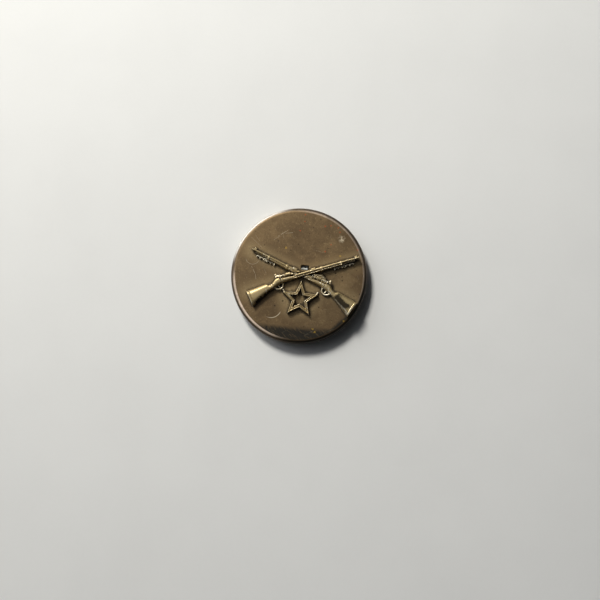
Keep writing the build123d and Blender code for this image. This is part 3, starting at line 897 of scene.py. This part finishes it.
@dataclass
class Rifle(Part):
    """A struck rifle: a relief worked out from overlapping lobes, with swept and turned small parts.

    u runs from the heel of the butt to the muzzle, t across it and h out of the face.
    """

    name: str
    node: str
    turn: float
    flip: int
    height: float
    crossing: float
    lap: bool = False
    sleeve: bool = False
    length: float = 21.8
    butt_depth: float = 3.12
    butt_slant: float = 0.42
    stations: int = 620
    across: int = 46
    forearm_low: float = -0.26
    stock_end: float = 18.4

    def lobes(self) -> list[Lobe]:
        """Every ridge of the relief, from the butt to the front sight."""
        h = self.height
        stock_low = (
            (0.0, 0.1 - self.butt_depth), (4.3, -1.12), (5.2, -0.80), (6.2, -0.52), (7.2, -0.34), (8.6, -0.25),
            (9.9, self.forearm_low), (19.0, self.forearm_low),
        )
        stock_high = (
            (0.0, 0.1), (3.75, 0.35), (3.95, 0.34), (4.15, 0.2), (4.35, 0.04), (4.6, 0.02), (4.95, 0.1),
            (5.3, 0.36), (5.8, 0.80), (6.2, 0.96), (6.6, 1.0), (7.2, 0.80), (8.6, 0.58), (9.6, 0.30),
            (10.6, 0.12), (19.0, 0.10),
        )
        receiver_high = (
            (6.3, 1.02), (6.55, 1.2), (7.5, 1.26), (7.9, 1.33), (8.7, 1.3), (9.1, 1.08), (9.6, 0.72), (10.4, 0.56),
        )
        fore_high = ((9.0, 0.62), (14.4, 0.58), (18.4, 0.54))
        barrel_high = ((9.0, 0.62), (14.4, 0.58), (18.4, 0.53), (21.8, 0.47))
        sleeve_high = ((7.0, 1.35), (7.3, 1.65), (8.1, 1.9), (9.2, 1.3), (9.7, 0.95))
        ridges = [
            Lobe(-1, 9.9, stock_low, stock_high, h * 0.98, 3.6, 2.0, 0.3),
            Lobe(9.2, self.stock_end, flat_edge(self.forearm_low), fore_high, h * 0.96, 4.0, 2.2, 0.5),
            Lobe(6.5, 10.1, flat_edge(0.42), receiver_high, h * 1.12, 2.6, 2.0, 0.08),
            Lobe(6.9, 7.7, flat_edge(0.74), flat_edge(1.12), h * 1.26, 2.0, 2.0, 0.05),
            Lobe(7.95, 8.75, flat_edge(0.5), flat_edge(1.33), h * 1.24, 3.0, 2.0, 0.04),
            Lobe(8.9, 9.25, flat_edge(0.45), flat_edge(1.0), h * 1.22, 3.0, 2.0, 0.03),
            Lobe(9.4, self.length + 0.2, flat_edge(0.04), barrel_high, h * 1.08, 2.6, 2.0, 0.4),
            Lobe(12.7, 13.4, flat_edge(0.2), flat_edge(0.8), h * 1.08, 3.0, 2.0, 0.2),
            Lobe(18.3, 20.9, flat_edge(-0.16), flat_edge(0.16), h * 0.6, 2.0, 2.0, 0.1),
            Lobe(14.4, 14.76, flat_edge(-0.33), flat_edge(0.68), h * 1.13, 4.0, 2.2, 0.04),
            Lobe(18.16, 18.48, flat_edge(-0.33), flat_edge(0.63), h * 1.12, 4.0, 2.2, 0.04),
            Lobe(21.1, 21.5, flat_edge(0.3), flat_edge(0.8), h * 0.8, 3.0, 2.0, 0.05),
            Lobe(
                0.0, 0.34, ((0.0, 0.1 - self.butt_depth), (0.5, 0.28 - self.butt_depth)), flat_edge(0.1),
                h * 1.03, 5.0, 2.0, 0.02,
            ),
            Lobe(4.7, 6.0, ((4.5, -0.3), (6.0, 0.0)), ((4.5, -0.12), (6.0, 0.2)), h * 1.0, 2.0, 2.0, 0.3),
        ]
        if self.sleeve:
            ridges += [
                Lobe(7.1, 9.6, flat_edge(0.9), sleeve_high, h * 1.02, 3.0, 2.0, 0.2),
                Lobe(7.5, 9.0, flat_edge(1.25), ((7.3, 1.5), (8.1, 1.75), (9.1, 1.4)), h * 1.22, 2.0, 2.0, 0.1),
            ]
        return ridges

    def grooves(self, u: np.ndarray, t: np.ndarray) -> np.ndarray:
        """How much is cut away: cross lines by the receiver and butt, and the line between receiver and stock."""
        cut = np.zeros_like(t)
        for place, low, high, depth in (
            (7.82, 0.35, 1.5, 0.22), (8.84, 0.4, 1.4, 0.22), (9.34, 0.35, 1.2, 0.2), (6.75, -0.3, 0.7, 0.16),
            (0.5, -3.2, 0.2, 0.1), (12.4, 0.1, 0.6, 0.05), (19.6, 0.0, 0.6, 0.05),
        ):
            cut += depth * np.exp(-(((u - place) / 0.045) ** 2)) * bump(t, low, high, 0.08)
        seam = 0.52 - 0.1 * smooth(u, 7.0, 10.0)
        cut += 0.18 * np.exp(-(((t - seam) / 0.05) ** 2)) * bump(u, 6.9, 9.3, 0.2)
        cut += 0.12 * np.exp(-(((t - 0.02) / 0.045) ** 2)) * bump(u, 9.6, 17.8, 0.8)
        return cut * self.height

    def relief(self) -> np.ndarray:
        """The closed relief: at each station a ring over the top from edge to edge and back along the base."""
        u = np.linspace(0, self.length, self.stations)
        ridges = self.lobes()
        low, high = np.full_like(u, 9.0), np.full_like(u, -9.0)
        for ridge in ridges:
            edge_low, edge_high = ridge.edges(u)
            here = bump(u, ridge.start, ridge.end, ridge.soft) > 0.4
            low = np.where(here, np.minimum(low, edge_low), low)
            high = np.where(here, np.maximum(high, edge_high), high)
        w = np.linspace(0, 1, self.across)
        spread = 0.5 - 0.5 * np.cos(math.pi * w)
        spread = 0.35 * w + 0.65 * spread
        grid_u = np.repeat(u[:, None], self.across, 1)
        grid_t = low[:, None] + (high - low)[:, None] * spread[None]
        lift = np.zeros_like(grid_t)
        for ridge in ridges:
            lift = np.maximum(lift, ridge.lift(grid_u, grid_t))
        middle = bump(spread[None], 0.08, 0.92, 0.08)
        lift = np.maximum(lift, self.height * 0.5 * middle)
        lift = np.maximum(lift - self.grooves(grid_u, grid_t) * middle, self.height * 0.2 * middle)
        lift *= self.under(grid_u, grid_t)
        lift[:, 0] = lift[:, -1] = 0
        slant = self.butt_slant / self.butt_depth * (1 - smooth(grid_u, 0.0, 4.5))
        drop = (0.1 - grid_t) / self.butt_depth
        hollow = 0.14 * 4 * drop * (1 - drop) * (1 - smooth(grid_u, 0.0, 0.5))
        along = grid_u + slant * (0.1 - grid_t) + hollow
        along = np.minimum(along, self.length)
        base = np.stack([along[:, ::-1], grid_t[:, ::-1], np.zeros_like(lift)], -1)[:, 1:-1:5]
        return np.concatenate([np.stack([along, grid_t, lift], -1), base], 1)

    def under(self, u: np.ndarray, t: np.ndarray) -> np.ndarray:
        """Share of the height that is left where the other rifle passes over."""
        if not self.lap:
            return np.ones_like(t)
        turn = math.radians(2 * self.turn)
        across = (u - self.crossing) * math.sin(turn) + t * math.cos(turn)
        return 1 - 0.62 * bump(across, -0.22, 0.62, 0.22) * bump(u, 8.5, 14.0, 0.4)

    def small_parts(self) -> dict[str, np.ndarray]:
        """Swept bars and balls: the guard is an arc, the swivel a circle, and the rest straight or bent bars.

        Returns:
            The grid of each, by name.
        """
        h = self.height
        a = np.linspace(math.radians(-200), math.radians(28), 40)
        guard = np.stack([6.1 + 0.8 * np.cos(a), -0.55 + 0.72 * np.sin(a), h * (0.28 + 0.08 * np.sin(a * 2))], -1)
        b = np.linspace(0, 1, 14)
        trigger = np.stack([6.05 + 0.22 * b**2, -0.42 - 0.58 * b, h * 0.34 + 0 * b], -1)
        handle = np.stack([7.0 - 0.9 * b, 0.95 + 0.36 * b, h * (1.05 - 0.25 * b)], -1)
        cocking = np.stack([6.7 - 0.75 * b, 0.98 + 0.02 * b, h * (1.05 - 0.2 * b)], -1)
        c = np.linspace(0, TURN * 0.98, 26)
        ring = np.stack([18.8 + 0.22 * np.cos(c), -0.5 + 0.2 * np.sin(c), h * 0.32 + 0 * c], -1)
        parts = {
            "guard": tube(guard, 0.13 + 0.03 * np.sin(np.linspace(0, math.pi, 40)), 12),
            "trigger": tube(trigger, 0.11 - 0.03 * b, 10),
            "bolt_handle": tube(handle, 0.13 - 0.02 * b, 12),
            "cocking_piece": tube(cocking, 0.17 + 0.03 * np.sin(b * 9), 14),
            "bolt_knob": ball((6.1, 1.36, h * 0.76), 0.27, 0.9),
            "swivel": tube(ring, 0.085 + 0 * c, 10),
        }
        for i in range(6):
            size = 0.15 - 0.012 * (i % 2)
            centre = (16.9 + 0.72 * i, -0.62 + 0.035 * (i % 2), h * 0.30)
            parts[f"bead_{i + 1}"] = ball(centre, size, 1.25, 8)
        web_t = np.linspace(0, 1, 20)
        web = np.stack([16.8 + 3.7 * web_t, -0.42 + 0 * web_t, h * 0.14 + 0 * web_t], -1)
        parts["rod"] = tube(web, 0.13 + 0 * web_t, 10)
        return parts

    def place(self, local: np.ndarray, shift: np.ndarray) -> np.ndarray:
        """Turns rifle coordinates into the row frame: mirrored if needed, turned, then moved by shift.

        Args:
            local: (..., 3) of u, t and h.
            shift: x, y and z to add.

        Returns:
            Points in the row frame.
        """
        turn = math.radians(self.turn) * self.flip
        s, t, h = local[..., 0] * self.flip, local[..., 1], local[..., 2]
        x = s * math.cos(turn) - t * math.sin(turn)
        z = s * math.sin(turn) + t * math.cos(turn)
        return np.stack([x, -h, z], -1) + shift

    def build(self, finish: bpy.types.Material) -> None:
        """Makes the relief and its small parts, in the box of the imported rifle."""
        star_low, star_high = node_box("star")
        middle = (star_low[0] + star_high[0]) / 2
        back = node_box(self.node)[1][1]
        turn = math.radians(self.turn)
        shift = np.array([
            middle - self.flip * self.crossing * math.cos(turn), back, -self.crossing * math.sin(turn)
        ])
        body = self.relief()
        piece = make_piece(f"{self.name}_relief", self.place(body, shift), wrap_columns=True, cap_rows=True)
        self.dress(piece, finish, Slot.EMBLEM, Body.BADGE, [self.node])
        for label, points in self.small_parts().items():
            small = make_piece(f"{self.name}_{label}", self.place(points, shift), wrap_columns=True, cap_rows=True)
            self.dress(small, finish, Slot.EMBLEM, Body.BADGE)


@dataclass(frozen=True)
class EmblemLines:
    """Where the emblem lies on the face, for the halo in the tarnish."""

    middle: float
    turn: float
    star_middle: tuple[float, float]
    half: float = 10.4

    def distance(self, graph: Finish) -> Wire:
        """Distance from the nearer rifle or the star, in millimetres."""
        c, s = math.cos(math.radians(self.turn)) * self.half, math.sin(math.radians(self.turn)) * self.half
        first = graph.segment((self.middle - c, -s), (self.middle + c, s))
        second = graph.segment((self.middle - c, s), (self.middle + c, -s))
        star = graph.radius(self.star_middle) - 2.6
        return first.at_most(second).at_most(star.at_least(0.0))


@dataclass
class Star(Part):
    """The pierced star: a band along a five-pointed outline, raised at both edges and dished between them."""

    inner_share: float = 0.44
    band: float = 0.48
    dish: float = 0.17
    tie_radius: float = 0.16
    per_side: int = 26
    across: int = 34

    def points(self) -> np.ndarray:
        """Closed grid: round the star by across the band.

        The corner radius falls from outer to outer * (1 - w), w across the band; the height is a rounded
        wall at both edges less a dish in the middle.
        """
        low, high = node_box("star")
        middle_x = (low[0] + high[0]) / 2
        outer = 3.55
        top = low[1] * -1 + high[1]
        centre_z = low[2] + outer * math.cos(math.radians(36))
        corner = np.arange(11)
        turn = np.radians(90 + 36 * corner)
        share = np.where(corner % 2 == 0, 1.0, self.inner_share)
        knots = np.stack([share * np.cos(turn), share * np.sin(turn)], -1)
        around = np.linspace(0, 10, 10 * self.per_side, endpoint=False)
        outline = np.stack([np.interp(around, corner, knots[:, k]) for k in (0, 1)], -1)
        w = np.linspace(0, 1, self.across)
        scale = outer * (1 - w * self.band)
        edge = np.minimum(w, 1 - w)
        wall = (1 - (1 - np.clip(edge / 0.26, 0, 1)) ** 2.2) ** 0.5
        dished = self.dish * smooth(edge, 0.26, 0.46)
        lift = top * (wall - dished)
        ring = outline[:, None] * scale[None, :, None]
        over = np.concatenate([ring, np.broadcast_to(lift[None, :, None], (*ring.shape[:2], 1))], -1)
        base = over[:, -2:0:-4].copy()
        base[..., 2] = 0
        grid = np.concatenate([over, base], 1)
        return np.stack([middle_x + grid[..., 0], high[1] - grid[..., 2], centre_z + grid[..., 1]], -1)

    def build(self, finish: bpy.types.Material) -> None:
        """Makes the star and its two tie bars."""
        piece = make_piece("star_band", self.points(), wrap_rows=True, wrap_columns=True)
        self.dress(piece, finish, Slot.EMBLEM, Body.BADGE, ["star"])
        low, high = node_box("star")
        middle_x = (low[0] + high[0]) / 2
        arm_z = low[2] + 3.55 * (math.cos(math.radians(36)) + math.sin(math.radians(18)))
        for side, label in ((-1, "left"), (1, "right")):
            b = np.linspace(0, 1, 16)
            path = np.stack([
                middle_x + side * (2.75 + 0.75 * b - 0.25 * b * b), high[1] - 0.12 + 0 * b, arm_z - 0.2 + 0.7 * b
            ], -1)
            bar = tube(path, self.tie_radius + 0 * b, 12, (0, 1, 0))
            bar = make_piece(f"star_tie_{label}", bar, wrap_columns=True, cap_rows=True)
            self.dress(bar, finish, Slot.EMBLEM, Body.BADGE)


@dataclass(frozen=True)
class Thread:
    """The screw thread: a ridge of trapezium section on a right-hand helix about +Y."""

    pitch: float = 0.635
    minor: float = 1.16
    depth: float = 0.26
    root_half: float = 0.25
    crest_half: float = 0.06
    start: float = 0.6825

    def ridge(self, angle: np.ndarray, y: np.ndarray, grow: float = 0.0) -> np.ndarray:
        """Height of the ridge over the core at an angle and a y: full at the crest, falling to 0 at the root.

        Args:
            angle: angle about +Y.
            y: distance along it.
            grow: how much wider the ridge is made all round, for the groove in the nut.

        Returns:
            The height in millimetres.
        """
        phase = (y - self.start) / self.pitch - angle / TURN
        off = np.abs(phase - np.round(phase)) * self.pitch
        slope = (self.root_half + grow - off) / (self.root_half - self.crest_half)
        return self.depth * np.clip(slope, 0, 1)


@dataclass
class ScrewPost(Part):
    """The post: riveted foot, plain shank and threaded end with a chamfer."""

    thread: Thread = field(default_factory=Thread)
    shank_radius: float = 1.45
    tenon_radius: float = 1.15
    shank_length: float = 1.0
    lead: float = 0.3
    foot_depth: float = 0.45
    solder_reach: float = 0.4

    def points(self) -> np.ndarray:
        """The turned outline with the thread's ridge added where the core is threaded."""
        low, high = node_box("screw_post")
        foot = (high[0] - low[0]) / 2
        core = self.thread.minor
        head = rounded_line(
            [(0.02, low[1]), (self.tenon_radius, low[1]), (self.tenon_radius, -self.foot_depth),
             (foot, -self.foot_depth),
             (foot, -0.02), (self.shank_radius + 0.02, 0.0), (self.shank_radius, self.shank_length)],
            [0, 0.05, 0.05, 0.05, 0.14, 0.05, 0], False,
        )
        y = np.linspace(self.shank_length + 0.02, high[1] - 0.02, 260)
        threaded = np.stack([np.full_like(y, core), y], -1)
        end = np.array([[core - self.lead, high[1]], [0.4, high[1] - 0.02], [0.02, high[1] - 0.05]])
        profile = np.concatenate([head, threaded, end])
        stop = high[1] - self.lead

        def ripple(angle: np.ndarray, level: np.ndarray, radius: np.ndarray) -> np.ndarray:
            """Adds the ridge on the threaded stretch and takes off the chamfer."""
            on = (level > self.shank_length + 0.01) & (radius > core - 0.01)
            grown = radius + np.where(on, self.thread.ridge(angle, level), 0)
            return np.minimum(grown, np.where(level > stop, core - (level - stop) * 0.9 + 0.02, 9))

        return turned(profile, 128, ripple)

    def build(self, finish: bpy.types.Material, solder: bpy.types.Material) -> None:
        """Makes the post and the ring of solder at its foot."""
        post = make_piece("screw_post_turned", self.points(), wrap_rows=True)
        self.dress(post, finish, Slot.BACK, Body.BADGE, ["screw_post"])
        reach = self.solder_reach
        a = np.linspace(0, math.pi / 2, 12)
        skin = np.stack([self.shank_radius + reach * (1 - np.sin(a)), reach * (1 - np.cos(a))], -1)
        loop = np.concatenate([skin, [[self.shank_radius - 0.05, reach * 0.9], [self.shank_radius - 0.05, -0.02]]])

        def wavy(angle: np.ndarray, level: np.ndarray, radius: np.ndarray) -> np.ndarray:
            """Draws the fillet in and out a little round the post."""
            wave = 0.72 + 0.14 * np.sin(3 * angle + 0.6) + 0.10 * np.sin(7 * angle)
            return self.shank_radius + (radius - self.shank_radius) * wave

        ring = make_piece("post_solder_fillet", turned(loop, 96, wavy), wrap_rows=True, wrap_columns=True)
        self.dress(ring, solder, Slot.SOLDER, Body.BADGE, ["post_solder"])


@dataclass
class Nut(Part):
    """The nut: a notched drawn plate, a threaded hub with a shoulder, and the washer round the hub."""

    thread: Thread = field(default_factory=Thread)
    sheet: float = 0.7
    dish_radius: float = 4.6
    dish_depth: float = 0.55
    notches: int = 48
    notch_depth: float = 0.17
    hub_radius: float = 2.45
    shoulder: tuple[float, float] = (3.1, 0.6)
    counterbore: float = 1.58
    counterbore_end: float = 1.85
    fit: float = 0.05

    def plate_points(self) -> np.ndarray:
        """Closed section of the plate, turned, with rounded notches cut in at the rim."""
        low, high = node_box("nut_plate")
        rim, front = (high[0] - low[0]) / 2, low[1]
        dish, depth, sheet = self.dish_radius, self.dish_depth, self.sheet
        corners = [
            (self.hub_radius, front + depth), (dish - depth, front + depth), (dish, front), (rim, front),
            (rim, front + sheet), (rim - 0.9, front + sheet), (rim - 1.05, front + sheet - 0.07),
            (rim - 1.3, front + sheet - 0.07), (rim - 1.45, front + sheet), (dish, front + sheet),
            (dish - depth, front + sheet + depth), (self.hub_radius, front + sheet + depth),
        ]
        radii = [0, 0.18, 0.18, 0.12, 0.12, 0.04, 0.04, 0.04, 0.04, 0.22, 0.18, 0.05]
        profile = rounded_line(corners, radii, True)

        def milled(angle: np.ndarray, level: np.ndarray, radius: np.ndarray) -> np.ndarray:
            """Cuts the notches: a rounded dip of the radius that repeats round the rim."""
            wave = np.abs(np.sin(angle * self.notches / 2)) ** 0.6
            return radius - self.notch_depth * (1 - wave) * smooth(radius, rim - 0.25, rim - 0.1)

        return turned(profile, self.notches * 12, milled)

    def hub_points(self) -> np.ndarray:
        """Closed section of the hub: outside with its shoulder, rear face, threaded bore and counterbore."""
        low, high = node_box("nut_hub")
        plate_low, plate_high = node_box("nut_plate")
        wide, thick = self.shoulder
        seat = plate_high[1]
        bore = self.thread.minor + self.fit
        outside = rounded_line(
            [(self.counterbore, low[1]), (self.hub_radius, low[1]), (self.hub_radius, seat), (wide, seat),
             (wide, seat + thick), (self.hub_radius, seat + thick), (self.hub_radius, high[1]),
             (bore + 0.1, high[1])],
            [0.04, 0.08, 0.02, 0.08, 0.14, 0.1, 0.16, 0.04], False,
        )
        y = np.linspace(high[1] - 0.06, self.counterbore_end, 90)
        threaded = np.stack([np.full_like(y, bore), y], -1)
        mouth = np.array([[self.counterbore, self.counterbore_end - 0.06], [self.counterbore, low[1] + 0.1]])
        profile = np.concatenate([outside, threaded, mouth])

        def tapped(angle: np.ndarray, level: np.ndarray, radius: np.ndarray) -> np.ndarray:
            """Widens the bore by the groove of the thread."""
            on = np.abs(radius - bore) < 1e-6
            return radius + np.where(on, self.thread.ridge(angle, level, self.fit), 0)

        return turned(profile, 128, tapped)

    def washer_points(self) -> np.ndarray:
        """Closed section of the washer, turned."""
        low, high = node_box("hub_washer")
        out, inner = (high[0] - low[0]) / 2, self.hub_radius + 0.06
        profile = rounded_line(
            [(inner, low[1]), (out, low[1]), (out, high[1]), (inner, high[1])], [0.05, 0.1, 0.1, 0.05], True
        )
        return turned(profile, 120)

    def build(self, plate_finish: bpy.types.Material, hub_finish: bpy.types.Material) -> None:
        """Makes the three pieces."""
        plate = make_piece("nut_plate_milled", self.plate_points(), wrap_rows=True, wrap_columns=True)
        self.dress(plate, plate_finish, Slot.NUT, Body.NUT, ["nut_plate"])
        hub = make_piece("nut_hub_tapped", self.hub_points(), wrap_rows=True, wrap_columns=True)
        self.dress(hub, hub_finish, Slot.NUT, Body.NUT, ["nut_hub"])
        washer = make_piece("hub_washer_plain", self.washer_points(), wrap_rows=True, wrap_columns=True)
        self.dress(washer, hub_finish, Slot.NUT, Body.WASHER, ["hub_washer"])


@dataclass
class Carried(Part):
    """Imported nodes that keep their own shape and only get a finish."""

    def build(self, finishes: dict[str, bpy.types.Material]) -> None:
        """Gives each named node its finish."""
        for name, material in finishes.items():
            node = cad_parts[name]
            node.data.materials.clear()
            node.data.materials.append(material)
            LOG.info("%s keeps its own shape", name)


# ---------------------------------------------------------------- the studio


@dataclass
class Studio:
    """Pale sheet, soft lights, pale surroundings and the camera."""

    frame_width: float = 111.4
    distance: float = 190.0
    azimuth: float = 2.0
    elevation: float = -4.0
    roll: float = 5.6
    sensor: float = 36.0
    badge_off: tuple[float, float] = (-0.2, 4.55)
    sheet_size: float = 600.0
    opening: float = 12.0
    skin: float = 1.6
    shade_share: float = 0.16
    paper: Colour = srgb(226, 226, 222)
    sky: Colour = (0.96, 0.99, 1.07)
    glow_low: Colour = (0.004, 0.004, 0.005)
    glow: Places = ((0.3, 0.006), (0.5, 0.016), (0.6, 0.07), (0.69, 0.10), (0.80, 0.42), (0.9, 1.2), (0.96, 2.6))
    glow_high: Colour = (4.5, 4.5, 4.5)
    light_way: tuple[float, float, float] = (-0.42, -0.62, 0.66)
    mirror_way: tuple[float, float, float] = (-0.74, -0.36, 0.57)

    def sheet(self) -> None:
        """The pale sheet that the back rim lies on.

        It can't be seen from behind, and a mirrored look shorter than skin goes through it, so that the rim
        doesn't mirror its own shadow.
        """
        y = node_box("disc_shell")[1][1] + 0.03
        radius = np.array([self.opening, 20.0, 60.0, self.sheet_size / 2])[:, None]
        angle = np.linspace(0, TURN, 96, endpoint=False)[None]
        points = np.stack([radius * np.cos(angle), np.full((4, 96), y), radius * np.sin(angle)], -1)
        sheet = make_piece("pale_sheet", points, wrap_columns=True)
        mesh = sheet.data
        if mesh.polygons[0].normal.y > 0:
            mesh.flip_normals()
        g = Finish("pale_paper")
        cloud, grain = g.noise(0.06, 3), g.noise(1.5, 3)
        colour = g.mix((cloud * 0.8 + grain * 0.2).rise(0.2, 0.9), self.paper, tuple(c * 0.95 for c in self.paper))
        behind = g.node("ShaderNodeNewGeometry", None, None, "Backfacing")
        seen, reach = (g.node("ShaderNodeLightPath", None, None, kind) for kind in ("Is Camera Ray", "Ray Length"))
        through = behind.at_least((1 - seen) * reach.rise(self.skin * MM, self.skin * MM * 0.8))
        clear = g.node("ShaderNodeBsdfTransparent")
        paper = g.surface(colour, 0.8, grain, 0.01, 0.0)
        g.done(g.node("ShaderNodeMixShader", None, {0: through, 1: paper, 2: clear}))
        mesh.materials.append(g.material)

    def surroundings(self) -> None:
        """Pale world; what the metal mirrors is bright above left and dark below.

        What isn't mirrored gets only shade_share of it, which deepens the badge's shadow.
        """
        world = bpy.data.worlds.new("studio")
        bpy.context.scene.world = world
        world.use_nodes = True
        g = Graph(world.node_tree)
        way = g.node("ShaderNodeTexCoord", None, None, "Generated")
        toward = g.node("ShaderNodeVectorMath", {"operation": "DOT_PRODUCT"}, {0: way, 1: self.mirror_way}, "Value")
        share = g.node("ShaderNodeMapRange", None, {"Value": toward, "From Min": -1.0, "From Max": 1.0})
        stops = [(0.0, self.glow_low), *((at, tuple(c * level for c in self.sky)) for at, level in self.glow)]
        glow = g.node("ShaderNodeValToRGB", {"stops": [*stops, (1.0, self.glow_high)]}, {0: share})
        seen, matt = (g.node("ShaderNodeLightPath", None, None, f"Is {kind} Ray") for kind in ("Camera", "Diffuse"))
        level = g.node("ShaderNodeMapRange", None, {"Value": matt, "To Min": 1.0, "To Max": self.shade_share})
        mirrored = g.node("ShaderNodeBackground", None, {0: glow, 1: level})
        plain = g.node("ShaderNodeBackground", None, {0: self.paper})
        g.end("ShaderNodeOutputWorld", g.node("ShaderNodeMixShader", None, {0: seen, 1: mirrored, 2: plain}))

    def light(self, name: str, place: Sequence[float], size: float, power: float, tint: Colour) -> None:
        """A square soft light that faces the badge.

        Args:
            name: its name.
            place: where, in millimetres.
            size: side of the square, in millimetres.
            power: watts.
            tint: its colour.
        """
        data = bpy.data.lights.new(name, "AREA")
        data.shape, data.size, data.energy, data.color = "SQUARE", size * MM, power, tint
        lamp = bpy.data.objects.new(name, data)
        bpy.context.scene.collection.objects.link(lamp)
        spot = np.array(place, float) * MM
        lamp.location = spot
        lamp.rotation_mode = "QUATERNION"
        lamp.rotation_quaternion = mathutils.Vector(-spot).to_track_quat("-Z", "Y")

    def camera(self) -> None:
        """The camera in front of the face, a little below, leaning so that the badge looks turned to the right."""
        a, e = math.radians(self.azimuth), math.radians(self.elevation)
        back = mathutils.Vector((math.sin(a) * math.cos(e), -math.cos(a) * math.cos(e), math.sin(e)))
        data = bpy.data.cameras.new("camera")
        data.sensor_width = self.sensor
        data.lens = self.sensor * self.distance / self.frame_width
        data.clip_start, data.clip_end = 0.01, 10
        camera = bpy.data.objects.new("camera", data)
        bpy.context.scene.collection.objects.link(camera)
        look = (-back).to_track_quat("-Z", "Y")
        lean = mathutils.Quaternion((0, 0, 1), math.radians(self.roll))
        camera.rotation_mode = "QUATERNION"
        camera.rotation_quaternion = look @ lean
        face = node_box("disc_shell")[0][1]
        right, up = (camera.rotation_quaternion @ mathutils.Vector(v) for v in ((1, 0, 0), (0, 1, 0)))
        target = mathutils.Vector((0, face, 0)) - right * self.badge_off[0] - up * self.badge_off[1]
        camera.location = (target + back * self.distance) * MM
        bpy.context.scene.camera = camera

    def build(self) -> None:
        """Sets the whole studio up."""
        self.sheet()
        self.surroundings()
        self.light("key", tuple(360 * c for c in self.light_way), 76, 1.35, (1.0, 0.98, 0.94))
        self.light("fill", (120, -330, -60), 260, 0.01, (0.9, 0.95, 1.0))
        self.light("back_key", (150, 220, 190), 170, 2.0, (1.0, 0.98, 0.95))
        self.light("back_fill", (-180, 200, -20), 220, 0.8, (0.93, 0.96, 1.0))
        self.camera()
        bpy.context.scene.view_settings.view_transform = "Standard"


def main() -> None:
    """Builds the badge piece by piece, then the studio."""
    logging.basicConfig(level=logging.INFO, format="%(name)s: %(message)s")
    face_y = node_box("disc_shell")[0][1]
    star_low, star_high = node_box("star")
    middle = float((star_low[0] + star_high[0]) / 2)
    lines = EmblemLines(middle, 21.6, (middle, float((star_low[2] + star_high[2]) / 2)))
    face = FaceFinish().build(lines)
    relief = ReliefFinish("emblem_gilt", face_y, 1.1).build()
    plate_brass = TurnedFinish("back_plate_brass", edge=30.0).build()
    nut_brass = TurnedFinish("nut_brass").build()
    hub_brass = TurnedFinish("hub_brass", bright=srgb(224, 196, 130), rings=5.0, edge=30.0).build()
    tab_grey = GreyFinish("tab_plating").build()
    solder = GreyFinish("soft_solder", srgb(168, 164, 152), srgb(92, 88, 78), 0.42).build()
    DiscShell().build(face)
    Rifle("front", "front_rifle", 21.6, 1, 1.08, 10.75).build(relief)
    Rifle("rear", "rear_rifle", 21.6, -1, 0.82, 11.35, lap=True, sleeve=True).build(relief)
    Star().build(relief)
    ScrewPost().build(hub_brass, solder)
    Nut().build(nut_brass, hub_brass)
    Carried().build({"backing_plate": plate_brass, "locating_tab": tab_grey, "emblem_solder": solder})
    Studio().build()


if __name__ == "__main__":
    main()
